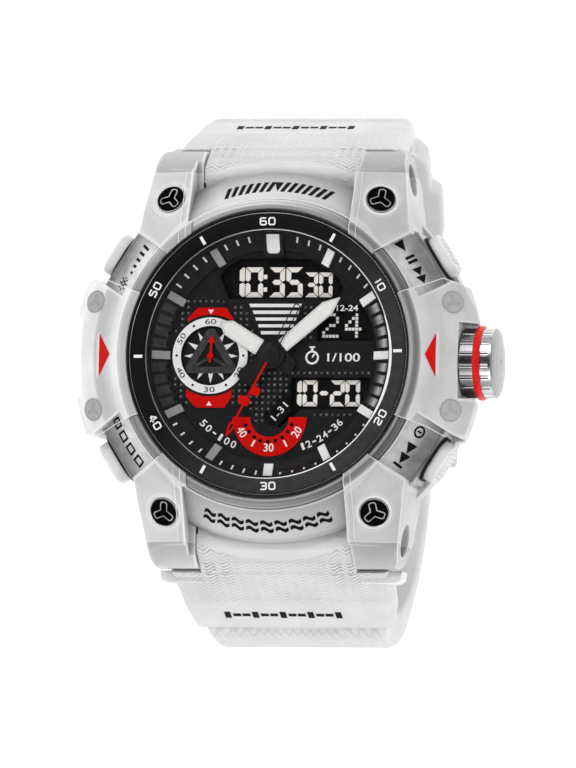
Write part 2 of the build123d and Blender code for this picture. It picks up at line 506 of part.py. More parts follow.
OUT_12 = [(26.2, 8.75), (27.8, 6.4), (29.5, 3.4), (31.0, 0.0), (33.1, -6.0), (33.6, -12.0), (31.8, -19.0), (28.4, -25.3),
          (23.6, -30.4), (17.6, -33.9), (11.0, -34.9), (4.0, -34.95)]
TH_12 = [3.0, 3.6, 3.9, 4.0, 3.8, 3.4, 3.0, 2.7, 2.5, 2.4, 2.4, 2.4]
OUT_6 = [(-26.2, 8.75), (-28.0, 6.2), (-29.9, 3.0), (-31.6, 0.0), (-34.2, -6.0), (-35.3, -12.0), (-33.8, -19.0), (-30.4, -25.2),
         (-25.2, -30.6), (-18.6, -34.6), (-12.0, -36.4), (-6.0, -37.3), (0.0, -37.85), (8.0, -37.9), (16.5, -37.75), (22.0, -35.9), (26.3, -32.6)]
TH_6 = [3.0, 3.6, 3.9, 4.0, 3.8, 3.4, 3.0, 2.6, 2.4, 2.3, 2.3, 2.3, 2.3, 2.3, 2.2, 2.1, 2.0]


def strap_section(outer, thick):
    """Side outline of one strap half as outer and inner smooth boundary points."""
    flip = outer[0][0] < 0
    inner = []
    m = len(outer)
    for i in range(m):
        a, b = outer[max(i - 1, 0)], outer[min(i + 1, m - 1)]
        ty, tz = b[0] - a[0], b[1] - a[1]
        L = hypot(ty, tz)
        s = -1.0 if flip else 1.0
        inner.append((outer[i][0] + s * thick[i] * tz / L, outer[i][1] - s * thick[i] * ty / L))
    return smooth(outer, 3), smooth(inner, 3)


def spline_face(outer, inner, x0):
    o = Spline(*[(x0, y, z) for y, z in outer])
    i = Spline(*[(x0, y, z) for y, z in inner])
    e1 = Line((x0, *outer[0]), (x0, *inner[0]))
    e2 = Line((x0, *outer[-1]), (x0, *inner[-1]))
    return make_face([o, i, e1, e2])


def strap_half(outer, thick, plan):
    s = 1 if outer[0][0] > 0 else -1
    o, i = strap_section(outer, thick)
    f = spline_face(o, i, -15.0)
    slab = extrude(f, amount=30.0, dir=(1, 0, 0))
    wide = slab & plan
    # the wide part stays clear of the lugs' swing
    hinge = cyl_x(4.75, -20, 20, s * BAR_Y, BAR_Z)
    wide -= hinge
    neck = slab & block(-10.3, 10.3, min(s * 20, s * 34), max(s * 20, s * 34), 0.0, 12.0)
    barrel = cyl_x(BARREL_R, -10.3, 10.3, s * BAR_Y, BAR_Z)
    web = prism_x([(s * (BAR_Y - 0.6), BAR_Z + 3.24), (s * 25.4, 9.55), (s * 26.3, 8.75), (s * 27.9, 6.3), (s * 26.5, 1.5), (s * 24.9, 3.15)], -10.3, 10.3)
    body = wide + neck + barrel + web
    body -= cyl_x(BAR_R + 0.05, -16, 16, s * BAR_Y, BAR_Z)
    return body


def width_plan(rows):
    """Front outline (half width at a height) pushed through along Y."""
    pts = [(w, z) for w, z in rows] + [(-w, z) for w, z in reversed(rows)]
    return prism_y(pts, -60, 60)


plan_front = [(13.9, 12.0), (13.9, 0.5), (14.3, -0.5), (14.3, -5.2), (12.9, -6.8), (12.6, -12.0), (12.0, -24.0), (11.4, -34.0), (11.4, -45.0)]
strap12 = strap_half(OUT_12, TH_12, width_plan(plan_front))
strap6 = strap_half(OUT_6, TH_6, width_plan(plan_front))
# strap end that wraps the buckle bar, with a slot for the tongue
BB_Y, BB_Z = 4.0, -33.55
strap12 += cyl_x(1.6, -11.4, 11.4, BB_Y, BB_Z)
strap12 -= cyl_x(0.80, -16, 16, BB_Y, BB_Z)
strap12 -= block(-1.5, 1.5, BB_Y - 3.0, BB_Y + 2.6, -38, -30)
# tail: rounded tip and tongue holes, one of them in use
tip_cut = block(-20, 20, 22.5, 40, -45, -20) - (Pos(0, 15.9, -33) * Cylinder(11.4, 30))
strap6 -= tip_cut
strap6 -= block(-1.25, 1.25, -2.9, 3.3, -40, -32)
for yh in (-9.5, 7.0, 12.5, 18.0):
    strap6 -= cyl(0.95, -45, -30, 0, yh)
out("strap_12", strap12)
out("strap_6", strap6)
for s, nm in ((1, "spring_bar_12"), (-1, "spring_bar_6")):
    b = cyl_x(BAR_R, -10.35, 10.35, s * BAR_Y, BAR_Z) + cyl_x(BAR_TIP_R, -12.6, 12.6, s * BAR_Y, BAR_Z)
    out(nm, b)
# buckle: bar, frame, tongue
out("buckle_bar", cyl_x(0.74, -13.6, 13.6, BB_Y, BB_Z))
arm = prism_x([(BB_Y + 1.3, BB_Z + 0.2), (BB_Y + 0.9, BB_Z + 1.2), (BB_Y - 0.6, BB_Z + 1.3), (-9.2, -37.4), (-9.9, -38.6), (-9.6, BASE_Z + 0.4),
               (-9.0, BASE_Z), (-7.9, BASE_Z), (-7.2, BASE_Z + 0.5), (BB_Y + 0.6, BB_Z - 1.2)], 12.3, 14.0)
far_bar = prism_x([(-9.75, -38.5), (-9.3, -37.75), (-7.6, -37.75), (-7.2, -38.4), (-7.3, BASE_Z + 0.5), (-7.9, BASE_Z), (-9.0, BASE_Z), (-9.6, BASE_Z + 0.4)], -12.4, 12.4)
far_bar -= block(-1.2, 1.2, -11, -6, BASE_Z - 1, -38.95)
bf = arm + mirror_x(arm) + far_bar
bf -= cyl_x(0.77, -13.7, 13.7, BB_Y, BB_Z)
out("buckle_frame", bf)
tongue = cyl_x(1.45, -1.0, 1.0, BB_Y, BB_Z)
tongue += prism_x([(BB_Y - 0.4, BB_Z - 1.3), (BB_Y - 1.2, BB_Z + 0.75), (0.9, -34.4), (-1.1, -38.6), (-2.0, -39.05), (-9.4, -39.05), (-9.9, -39.5), (-9.4, -39.88),
                   (-2.2, -39.88), (-0.9, -39.4), (1.2, -35.6)], -0.85, 0.85)
tongue -= cyl_x(0.78, -5, 5, BB_Y, BB_Z)
out("buckle_tongue", tongue)


def keeper(y0, y1, in_top, in_bot):
    k = block(-13.5, 13.5, y0, y1, BASE_Z, in_top + 1.3)
    k = fillet(k.edges().filter_by(Axis.Y), 1.3)
    return k - block(-12.15, 12.15, y0 - 1, y1 + 1, in_bot, in_top)


kf = keeper(7.6, 10.8, -32.4, -38.2)
kf += block(11.3, 12.3, 8.2, 10.2, -34.6, -33.0) + block(-12.3, -11.3, 8.2, 10.2, -34.6, -33.0)
kf -= strap12
out("keeper_fixed", kf)
out("keeper_free", keeper(12.9, 15.9, -31.2, -38.25))
print("strap volumes", strap12.volume, strap6.volume)
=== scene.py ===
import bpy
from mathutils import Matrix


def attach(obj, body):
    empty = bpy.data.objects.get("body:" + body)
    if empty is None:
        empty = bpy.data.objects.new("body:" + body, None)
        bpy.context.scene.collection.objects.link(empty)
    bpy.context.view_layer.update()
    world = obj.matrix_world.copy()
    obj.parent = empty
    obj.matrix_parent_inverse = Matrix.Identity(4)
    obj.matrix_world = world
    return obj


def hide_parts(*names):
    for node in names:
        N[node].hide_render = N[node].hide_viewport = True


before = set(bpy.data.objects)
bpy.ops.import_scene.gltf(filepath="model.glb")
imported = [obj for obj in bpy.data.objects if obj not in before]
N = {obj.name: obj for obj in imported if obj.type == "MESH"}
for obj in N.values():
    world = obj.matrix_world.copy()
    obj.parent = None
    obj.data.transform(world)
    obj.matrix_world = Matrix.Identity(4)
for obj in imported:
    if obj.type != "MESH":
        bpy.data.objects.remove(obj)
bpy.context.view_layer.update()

import bpy
import bmesh
import math
import random
import numpy as np
from math import sin, cos, radians, pi, hypot, sqrt, atan2, degrees
from mathutils import Vector, Matrix
from mathutils.geometry import tessellate_polygon

MM = 0.001
scene = bpy.context.scene
scene.view_settings.view_transform = "Standard"
scene.view_settings.look = "None"
rng = random.Random(7)

# ------------------------------------------------------------------ camera
c_dir = Vector((0.2138, -0.0941, 0.9724)).normalized()
right0 = Vector((0.9767, 0.0, -0.2147)).normalized()
up0 = c_dir.cross(right0).normalized()
roll = radians(1.3)
r1 = right0 * cos(roll) + up0 * sin(roll)
u1 = -right0 * sin(roll) + up0 * cos(roll)
D = 2500.0
cam_data = bpy.data.cameras.new("camera")
cam = bpy.data.objects.new("camera", cam_data)
scene.collection.objects.link(cam)
cam_loc = Vector((0, 0, 16)) + c_dir * D + r1 * 2.63 - u1 * 4.01
cam.matrix_world = Matrix(((r1.x, u1.x, c_dir.x, cam_loc.x * MM), (r1.y, u1.y, c_dir.y, cam_loc.y * MM), (r1.z, u1.z, c_dir.z, cam_loc.z * MM), (0, 0, 0, 1)))
cam_data.sensor_fit = "VERTICAL"
cam_data.sensor_height = 36.0
cam_data.lens = 36.0 * D / 101.05
cam_data.clip_start, cam_data.clip_end = 0.05, 10.0
scene.camera = cam


# ------------------------------------------------------------------ materials
class Mat:
    """A Principled material with small helpers for procedural nodes; object coordinates in millimetres."""

    def __init__(self, name, color=(0.8, 0.8, 0.8), rough=0.5, **kw):
        self.m = bpy.data.materials.new(name)
        self.m.use_nodes = True
        self.nt = self.m.node_tree
        self.b = self.nt.nodes["Principled BSDF"]
        self.set("Base Color", (*color, 1.0))
        self.set("Roughness", rough)
        for k, v in kw.items():
            self.set(k.replace("_", " "), v)
        self._co = None

    def set(self, name, value):
        self.b.inputs[name].default_value = value

    def new(self, kind):
        return self.nt.nodes.new(kind)

    def link(self, a, b):
        self.nt.links.new(a, b)

    def co(self):
        if self._co is None:
            tc = self.new("ShaderNodeTexCoord")
            sc = self.new("ShaderNodeVectorMath")
            sc.operation = "SCALE"
            sc.inputs["Scale"].default_value = 1000.0
            self.link(tc.outputs["Object"], sc.inputs[0])
            self._co = sc.outputs[0]
        return self._co

    def xyz(self):
        s = self.new("ShaderNodeSeparateXYZ")
        self.link(self.co(), s.inputs[0])
        return s.outputs

    def math(self, op, a, b=None, clamp=False):
        n = self.new("ShaderNodeMath")
        n.operation = op
        n.use_clamp = clamp
        for i, v in enumerate((a, b)):
            if v is None:
                continue
            if isinstance(v, (int, float)):
                n.inputs[i].default_value = v
            else:
                self.link(v, n.inputs[i])
        return n.outputs[0]

    def radius(self, cx=0.0, cy=0.0):
        x, y, _ = self.xyz()
        dx, dy = self.math("SUBTRACT", x, cx), self.math("SUBTRACT", y, cy)
        return self.math("SQRT", self.math("ADD", self.math("MULTIPLY", dx, dx), self.math("MULTIPLY", dy, dy)))

    def noise(self, scale, detail=3.0, rough=0.5, stretch=None, distort=0.0):
        n = self.new("ShaderNodeTexNoise")
        n.inputs["Scale"].default_value = scale
        n.inputs["Detail"].default_value = detail
        n.inputs["Roughness"].default_value = rough
        n.inputs["Distortion"].default_value = distort
        src = self.co()
        if stretch:
            mp = self.new("ShaderNodeMapping")
            mp.inputs["Scale"].default_value = stretch
            self.link(src, mp.inputs["Vector"])
            src = mp.outputs[0]
        self.link(src, n.inputs["Vector"])
        return n.outputs["Fac"]

    def ramp(self, fac, stops, mode="LINEAR"):
        n = self.new("ShaderNodeValToRGB")
        cr = n.color_ramp
        cr.interpolation = mode
        while len(cr.elements) < len(stops):
            cr.elements.new(0.5)
        for e, (p, c) in zip(cr.elements, stops):
            e.position = p
            if isinstance(c, (int, float)):
                c = (c, c, c)
            e.color = (*c, 1.0)
        self.link(fac, n.inputs["Fac"])
        return n.outputs["Color"]

    def span(self, v, lo, hi):
        """v mapped so that lo is 0 and hi is 1, clamped."""
        n = self.new("ShaderNodeMapRange")
        n.inputs["From Min"].default_value = lo
        n.inputs["From Max"].default_value = hi
        self.link(v, n.inputs["Value"])
        return n.outputs["Result"]

    def mix(self, fac, a, b, mode="MIX"):
        n = self.new("ShaderNodeMix")
        n.data_type = "RGBA"
        n.blend_type = mode
        n.clamp_factor = True
        for i, v in ((0, fac), (6, a), (7, b)):
            sock = n.inputs[i]
            if isinstance(v, (int, float)):
                if i == 0:
                    sock.default_value = v
                else:
                    sock.default_value = (v, v, v, 1.0)
            elif isinstance(v, tuple):
                sock.default_value = (*v, 1.0)
            else:
                self.link(v, sock)
        return n.outputs[2]

    def ao(self, dist_mm, inside=False, samples=2):
        n = self.new("ShaderNodeAmbientOcclusion")
        n.samples = samples
        n.inside = inside
        n.only_local = inside
        n.inputs["Distance"].default_value = dist_mm * MM
        return n.outputs["AO"]

    def color(self, sock):
        self.link(sock, self.b.inputs["Base Color"])

    def rough(self, sock):
        self.link(sock, self.b.inputs["Roughness"])

    def bump(self, height, strength, dist_mm):
        n = self.new("ShaderNodeBump")
        n.inputs["Strength"].default_value = strength
        n.inputs["Distance"].default_value = dist_mm * MM
        self.link(height, n.inputs["Height"])
        self.link(n.outputs["Normal"], self.b.inputs["Normal"])


def frosted(name, tone=0.66, glow_gain=0.8, crease=2.2, crease_min=0.5, amp=0.05):
    """Milky translucent resin, with painted light and shade: paler at thin edges as a painted glow, greyer as painted
    shade in hollows or close to the dark case.
    """
    m = Mat(name, (0.8, 0.81, 0.82), 0.36, Specular_IOR_Level=0.38)
    m.set("Subsurface Weight", 0.20)
    m.set("Subsurface Radius", (1.0, 1.0, 1.05))
    m.set("Subsurface Scale", 0.0009)
    cloud = m.ramp(m.noise(0.16, 3.0), [(0.32, tone * (1 - amp)), (0.5, tone * 1.0), (0.68, tone * (1 + amp))])
    tint = m.mix(0.06, cloud, (0.80, 0.84, 0.92), "MULTIPLY")
    # painted shade: darker in creases, recesses and near other parts, from ambient occlusion
    crease_shade = m.ramp(m.ao(crease), [(0.2, crease_min), (0.9, 1.0)])
    body = m.mix(1.0, tint, crease_shade, "MULTIPLY")
    # painted glow: paler colour along thin edges, standing in for light through the resin
    edge = m.ramp(m.ao(0.45, inside=True), [(0.45, 1.0), (0.92, 0.0)])
    m._edge = m.math("MULTIPLY", edge, glow_gain)
    m._body = body
    m.rough(m.ramp(m.noise(1.5, 4.0), [(0.3, 0.30), (0.7, 0.44)]))
    m.bump(m.noise(14.0, 3.0), 0.10, 0.02)
    m.color(m.mix(m._edge, body, (0.93, 0.94, 0.95)))
    return m


def painted_side_light(m, col, left=1.06, right=0.66):
    """Painted side lighting: paler on the left half of the watch, greyer on the right half."""
    x = m.xyz()[0]
    g = m.ramp(m.span(x, -26.0, 28.0), [(0.0, left * 0.9), (0.35, left * 0.87), (0.62, right * 1.04), (0.85, right), (1.0, right * 1.08)])
    g2 = m.mix(1.0, col, g, "MULTIPLY")
    return m.mix(1.0, g2, (1.12, 1.12, 1.12), "MULTIPLY")


# painted shading across the bead profile, by radius: shade and highlight values
BEAD_SHADE = [(18.70, 0.40), (19.05, 0.42), (19.30, 0.66), (19.50, 0.62), (19.85, 0.34), (20.20, 0.40), (20.45, 0.55), (20.62, 1.12), (20.85, 1.05)]


def painted_bead_shade(m, r, hi=1.0):
    """Painted light and shade on the rounded bead beside the ring: a grey shaded band between a dark joint and a pale
    lip with a painted highlight.
    """
    lo, up = BEAD_SHADE[0][0], BEAD_SHADE[-1][0]
    return m.ramp(m.span(r, lo, up), [((q - lo) / (up - lo), v * hi) for q, v in BEAD_SHADE])


# outer frame, with painted light and shade: grey bead shading next to the ring, a pale pad, a greyer painted shade band
# behind the guards, painted darker shade and a highlight on the lug end bevels
M_FRAME = frosted("frosted_frame", 0.72, 0.8, 1.3, 0.72, 0.09)
_r = M_FRAME.radius()
_x, _y, _z = M_FRAME.xyz()
_ay = M_FRAME.math("ABSOLUTE", _y)
_isguard = M_FRAME.ramp(M_FRAME.span(_ay, 9.0, 12.0), [(0.0, 1.0), (1.0, 0.0)])
# painted shade bands by radius across the guards, with its own variant on the right side
_guard_shade = M_FRAME.ramp(M_FRAME.span(_r, 20.8, 27.6), [(0.0, 1.15), (0.08, 1.02), (0.16, 0.84), (0.30, 0.70), (0.46, 0.73), (0.51, 1.06), (0.9, 1.14), (1.0, 1.04)])
_guard_shade_right = M_FRAME.ramp(M_FRAME.span(_r, 20.8, 27.6), [(0.0, 1.13), (0.06, 1.05), (0.12, 1.00), (0.22, 0.92), (0.36, 0.97), (0.46, 1.03), (0.53, 1.05), (0.72, 1.0), (0.80, 0.90), (1.0, 0.90)])
_guard_shade = M_FRAME.mix(M_FRAME.ramp(M_FRAME.span(_x, -2.0, 2.0), [(0.0, 0.0), (1.0, 1.0)]), _guard_shade, _guard_shade_right)
_painted_shading = M_FRAME.mix(_isguard, 0.98, _guard_shade)
_isnear = M_FRAME.ramp(M_FRAME.span(_r, 20.78, 20.86), [(0.0, 1.0), (1.0, 0.0)])
_bead_shade = painted_bead_shade(M_FRAME, _r)
_gz = M_FRAME.ramp(M_FRAME.span(_r, 19.55, 20.65), [(0.0, 0.0), (0.3, 1.0), (0.8, 1.0), (1.0, 0.0)])
# painted light across the bead: brighter to the left, darker to the right
_light_across = M_FRAME.ramp(M_FRAME.span(_x, -22.0, 22.0), [(0.0, 2.0), (0.2, 1.7), (0.5, 1.2), (0.75, 0.8), (1.0, 0.7)])
_painted_shading = M_FRAME.mix(_isnear, _painted_shading, M_FRAME.mix(_gz, _bead_shade, M_FRAME.mix(1.0, _bead_shade, _light_across, "MULTIPLY")))
# painted shade: the lugs darker towards the left
_lug_left_shade = M_FRAME.ramp(M_FRAME.span(_x, -12.0, 2.0), [(0.0, 0.90), (1.0, 1.0)])
_painted_shading = M_FRAME.mix(M_FRAME.ramp(M_FRAME.span(_ay, 10.0, 13.0), [(0.0, 0.0), (1.0, 1.0)]), _painted_shading, M_FRAME.mix(1.0, _painted_shading, _lug_left_shade, "MULTIPLY"))
# painted highlight and shade across the lug end bevels
_bevel_light_shade = M_FRAME.ramp(M_FRAME.span(_ay, 24.0, 28.0), [(0.0, 1.0), (0.08, 1.0), (0.11, 1.16), (0.14, 0.66), (0.55, 0.80), (1.0, 1.0)])
_col = M_FRAME.mix(1.0, M_FRAME._body, _painted_shading, "MULTIPLY")
_col = M_FRAME.mix(1.0, _col, _bevel_light_shade, "MULTIPLY")
# painted shading along the lugs
_lug_shade_y = M_FRAME.ramp(M_FRAME.span(_ay, 12.0, 25.0), [(0.0, 1.0), (0.2, 0.96), (0.55, 1.0), (0.85, 1.06), (1.0, 1.05)])
_col = M_FRAME.mix(1.0, _col, _lug_shade_y, "MULTIPLY")
# painted edge glow, weak on the bead and full outside it
_rim_glow_mask = M_FRAME.math("MULTIPLY", M_FRAME._edge, M_FRAME.ramp(M_FRAME.span(_r, 20.3, 20.9), [(0.0, 0.1), (1.0, 1.0)]))
_col = M_FRAME.mix(_rim_glow_mask, _col, (0.97, 0.97, 0.98))
# painted side lighting
M_FRAME.color(painted_side_light(M_FRAME, _col, 1.08, 0.71))

M_STRAP = frosted("strap_resin_look", 0.83, 0.35, 0.8, 0.76)
_nz = M_STRAP.new("ShaderNodeSeparateXYZ")
_tcn = M_STRAP.new("ShaderNodeTexCoord")
M_STRAP.link(_tcn.outputs["Normal"], _nz.inputs[0])
# painted shade: the strap darker where its surface turns away from facing up
_normal_shade = M_STRAP.ramp(_nz.outputs["Z"], [(0.0, 0.80), (0.45, 0.87), (0.9, 1.0)])
_col = M_STRAP.mix(1.0, M_STRAP.mix(M_STRAP._edge, M_STRAP._body, (0.90, 0.91, 0.92)), _normal_shade, "MULTIPLY")
_rel = M_STRAP.new("ShaderNodeAttribute")
_rel.attribute_name = "relief"
# painted shade in the relief grooves and painted highlight on its ridges
_relief_shade = M_STRAP.ramp(_rel.outputs["Fac"], [(0.0, 0.30), (0.25, 0.58), (0.40, 0.86), (0.5, 1.0), (0.60, 1.10), (0.8, 1.26)])
_deep = M_STRAP.ramp(M_STRAP.span(M_STRAP.xyz()[2], -26.0, -12.0), [(0.0, 1.0), (1.0, 1.0)])
M_STRAP.color(M_STRAP.mix(1.0, M_STRAP.mix(1.0, _col, _relief_shade, "MULTIPLY"), _deep, "MULTIPLY"))
M_KEEP = frosted("keeper_resin", 0.66, 0.5)
M_SHOULDER = frosted("shoulder_resin", 0.80, 0.4, 0.6, 0.8)
# pale seat rings: a painted halo over the shaded screw recess
M_SEAT_HALO = frosted("screw_seat_halo_resin", 0.92, 0.3, 0.4, 0.85)
M_CAPS = frosted("pusher_resin", 0.82, 0.5, 0.5)
M_MOULD = frosted("moulded_screw", 0.47, 0.0, 0.5, 0.8)
M_MLINE = frosted("moulded_line", 0.41, 0.0, 0.5, 0.8)
# pale painted highlights along the frame edges, with painted side lighting
M_FRAME_HIGHLIGHT = frosted("frame_edge_highlight_resin", 0.90, 0.0, 0.3, 0.9)
M_FRAME_HIGHLIGHT.color(painted_side_light(M_FRAME_HIGHLIGHT, M_FRAME_HIGHLIGHT._body, 1.12, 0.86))

# middle case: silver-grey clear-coated resin, with painted light and shade: brighter at 12 and 6, deeper in tone
# towards the rim of the label slopes
M_CASE = Mat("silver_case", (0.6, 0.61, 0.63), 0.34, Metallic=0.25, Coat_Weight=0.25, Coat_Roughness=0.12, Specular_IOR_Level=0.35)
_x, _y, _z = M_CASE.xyz()
_r = M_CASE.radius()
_ax, _ay = M_CASE.math("ABSOLUTE", _x), M_CASE.math("ABSOLUTE", _y)
# label slopes, painted reflection and shade: pale at the lip, deepening outwards at the middle of each panel
_mid = M_CASE.ramp(M_CASE.span(_r, 20.85, 25.0), [(0.0, 0.66), (0.10, 0.70), (0.30, 0.62), (0.46, 0.40), (0.60, 0.22), (0.80, 0.20), (0.86, 0.34), (0.90, 0.18), (1.0, 0.34)])
_end = M_CASE.ramp(M_CASE.span(_r, 20.85, 25.0), [(0.0, 0.62), (0.10, 0.70), (0.30, 0.64), (0.60, 0.56), (0.80, 0.48), (0.86, 0.56), (0.90, 0.34), (1.0, 0.50)])
_ang = M_CASE.math("DIVIDE", _ay, _ax)
_c = M_CASE.ramp(M_CASE.span(_ang, 0.42, 0.98), [(0.0, 0.55), (0.25, 1.0), (0.55, 0.9), (1.0, 0.0)])
_side = M_CASE.mix(_c, _end, _mid)
_streak = M_CASE.ramp(M_CASE.noise(0.55, 3.0, 0.6, (1.0, 1.0, 0.2)), [(0.32, 0.80), (0.5, 1.0), (0.68, 1.15)])
_side = M_CASE.mix(1.0, _side, _streak, "MULTIPLY")
# painted shading: 12 o'clock darkens outwards, 6 o'clock lightens outwards
_s12 = M_CASE.ramp(M_CASE.span(_r, 20.85, 25.0), [(0.0, 0.62), (0.15, 0.68), (0.45, 0.56), (0.75, 0.40), (0.88, 0.29), (0.92, 0.38), (1.0, 0.46)])
_s6 = M_CASE.ramp(M_CASE.span(_r, 20.85, 25.0), [(0.0, 0.50), (0.12, 0.56), (0.35, 0.66), (0.6, 0.74), (0.75, 0.72), (0.86, 0.52), (0.92, 0.26), (1.0, 0.30)])
_top = M_CASE.mix(M_CASE.ramp(M_CASE.span(_y, -2.0, 2.0), [(0.0, 0.0), (1.0, 1.0)]), _s6, _s12)
# painted shade: darker towards the corners of the 12 and 6 fields
_corner_shade = M_CASE.ramp(M_CASE.span(_ax, 3.0, 11.0), [(0.0, 1.04), (0.6, 0.95), (0.85, 0.80), (1.0, 0.62)])
_top = M_CASE.mix(1.0, _top, _corner_shade, "MULTIPLY")
_lab = M_CASE.ramp(M_CASE.span(_ax, 12.0, 13.5), [(0.0, 0.0), (1.0, 1.0)])
_val = M_CASE.mix(_lab, _top, _side)
_isnear = M_CASE.ramp(M_CASE.span(_r, 20.78, 20.86), [(0.0, 1.0), (1.0, 0.0)])
_bead_shade = painted_bead_shade(M_CASE, _r, 0.66)
# painted highlight and sheen on the bead, strongest at 12 and fading to the right
_bead_highlight_y = M_CASE.ramp(M_CASE.span(_y, -20.0, 20.0), [(0.0, 1.1), (0.2, 0.85), (0.7, 1.1), (0.9, 1.7), (1.0, 2.1)])
_light_across = M_CASE.ramp(M_CASE.span(_x, -18.0, 18.0), [(0.0, 1.0), (0.3, 1.1), (0.5, 1.1), (0.66, 0.9), (0.82, 0.50), (1.0, 0.45)])
_bead_sheen = M_CASE.mix(1.0, _bead_highlight_y, _light_across, "MULTIPLY")
_gz = M_CASE.ramp(M_CASE.span(_r, 19.55, 20.65), [(0.0, 0.0), (0.3, 1.0), (0.8, 1.0), (1.0, 0.0)])
_val = M_CASE.mix(_isnear, _val, M_CASE.mix(_gz, _bead_shade, M_CASE.mix(1.0, _bead_shade, _bead_sheen, "MULTIPLY")))
_wall = M_CASE.ramp(M_CASE.span(_z, 9.6, 11.0), [(0.0, 1.0), (1.0, 0.0)])
_val = M_CASE.mix(_wall, _val, M_CASE.mix(1.0, 0.40, _streak, "MULTIPLY"))
_val = painted_side_light(M_CASE, _val, 1.04, 0.76)
# painted shading along y: darker near 6, brighter towards 12
_case_shade_y = M_CASE.ramp(M_CASE.span(M_CASE.xyz()[1], -26.0, 26.0), [(0.0, 0.97), (0.08, 0.92), (0.5, 1.0), (0.9, 1.08), (1.0, 1.08)])
M_CASE.color(M_CASE.mix(1.0, M_CASE.mix(0.08, _val, (0.62, 0.66, 0.74), "MULTIPLY"), _case_shade_y, "MULTIPLY"))
M_CASE.rough(M_CASE.ramp(M_CASE.noise(2.0, 3.0), [(0.3, 0.28), (0.7, 0.40)]))

# minute ring, black with a painted sheen that lightens towards the lower right
M_RING = Mat("ring_black_satin", (0.012, 0.012, 0.013), 0.42, Specular_IOR_Level=0.12)
_x, _y, _z = M_RING.xyz()
# painted sheen: colour lightening diagonally across the ring
_sheen_axis = M_RING.math("ADD", M_RING.math("MULTIPLY", _x, 0.72), M_RING.math("MULTIPLY", _y, -0.60))
M_RING.color(M_RING.mix(1.0, M_RING.ramp(M_RING.span(_sheen_axis, -16.0, 17.0), [(0.0, 0.0025), (0.38, 0.006), (0.55, 0.022), (0.75, 0.036), (1.0, 0.040)]), M_RING.ramp(M_RING.noise(1.1, 4.0), [(0.3, 0.85), (0.7, 1.15)]), "MULTIPLY"))
M_RING.rough(M_RING.ramp(M_RING.noise(6.0, 4.0), [(0.3, 0.36), (0.7, 0.50)]))
M_RING.bump(M_RING.noise(22.0, 3.0), 0.08, 0.01)

# bright ring edges: a painted reflection, the metal colour brightening from left to right
M_EDGE = Mat("ring_edge_bright", (0.62, 0.62, 0.63), 0.22, Metallic=0.9)
M_EDGE.rough(M_EDGE.ramp(M_EDGE.noise(4.0, 3.0), [(0.3, 0.16), (0.7, 0.30)]))
_x, _y, _z = M_EDGE.xyz()
M_EDGE.color(M_EDGE.mix(1.0, M_EDGE.ramp(M_EDGE.span(_x, -17.0, 17.0), [(0.0, 0.24), (0.3, 0.30), (0.55, 0.45), (0.8, 0.80), (1.0, 0.90)]), M_EDGE.ramp(M_EDGE.noise(0.5, 2.0), [(0.3, 0.85), (0.7, 1.1)]), "MULTIPLY"))


def plain(name, color, rough, vary=0.12, scale=3.0, bump=0.05, **kw):
    m = Mat(name, color, rough, **kw)
    lo = tuple(max(0.0, c * (1 - vary)) for c in color)
    hi = tuple(min(1.0, c * (1 + vary)) for c in color)
    m.color(m.ramp(m.noise(scale, 4.0), [(0.3, lo), (0.7, hi)]))
    m.rough(m.ramp(m.noise(scale * 1.7, 3.0), [(0.3, max(0.02, rough - 0.06)), (0.7, min(1.0, rough + 0.08))]))
    if bump:
        m.bump(m.noise(scale * 6, 3.0), bump, 0.01)
    return m


M_DIAL = plain("dial_black_matt", (0.0085, 0.0085, 0.010), 0.62, 0.25, 1.2, 0.05, Specular_IOR_Level=0.18)
M_FLANGE = plain("flange_black", (0.0085, 0.0075, 0.009), 0.55, 0.25, 0.8, 0.05, Specular_IOR_Level=0.22)
M_STUD = Mat("stud_black", (0.012, 0.012, 0.013), 0.42, Specular_IOR_Level=0.3)
_x, _y, _z = M_STUD.xyz()
# painted highlight: the stud colour lightens towards the stud tops
M_STUD.color(M_STUD.mix(1.0, M_STUD.ramp(M_STUD.span(_z, 13.02, 13.17), [(0.0, 0.007), (0.5, 0.014), (0.8, 0.07), (1.0, 0.24)]), M_STUD.ramp(M_STUD.noise(0.9, 4.0), [(0.35, 0.35), (0.65, 1.5)]), "MULTIPLY"))
M_LCD = plain("lcd_black", (0.0060, 0.0060, 0.0064), 0.30, 0.15, 0.6, 0.0, Specular_IOR_Level=0.12)
M_SEG = plain("lcd_segment", (0.93, 0.885, 0.84), 0.55, 0.04, 1.5, 0.02, Specular_IOR_Level=0.1)
# white print, also used for the painted glint on the ring lip
M_PRINT_AND_GLINT = plain("white_print_and_glint", (0.88, 0.88, 0.88), 0.55, 0.03, 2.0, 0.02, Specular_IOR_Level=0.2)
M_TICK = plain("tick_print", (0.86, 0.80, 0.82), 0.55, 0.06, 2.0, 0.02, Specular_IOR_Level=0.2)
M_INK = plain("black_print", (0.004, 0.004, 0.004), 0.5, 0.2, 2.0, 0.02, Specular_IOR_Level=0.06)
M_GREYINK = plain("grey_print", (0.016, 0.016, 0.018), 0.55, 0.2, 2.0, 0.02, Specular_IOR_Level=0.2)
M_RED = plain("signal_red_lacquer", (0.64, 0.004, 0.003), 0.45, 0.06, 1.5, 0.04, Specular_IOR_Level=0.08)
M_REDGLOSS = plain("red_gloss_ring", (0.72, 0.006, 0.004), 0.20, 0.08, 1.5, 0.02, Coat_Weight=0.12, Coat_Roughness=0.08, Specular_IOR_Level=0.15)
M_SUBRING = plain("lap_ring_white", (0.90, 0.90, 0.90), 0.5, 0.02, 2.0, 0.03, Specular_IOR_Level=0.2)
M_SUBTRI = plain("lap_frame_grey", (0.040, 0.040, 0.044), 0.42, 0.35, 1.3, 0.05, Specular_IOR_Level=0.35)
M_HAND = plain("hand_body", (0.70, 0.70, 0.68), 0.34, 0.04, 1.5, 0.03, Specular_IOR_Level=0.4)
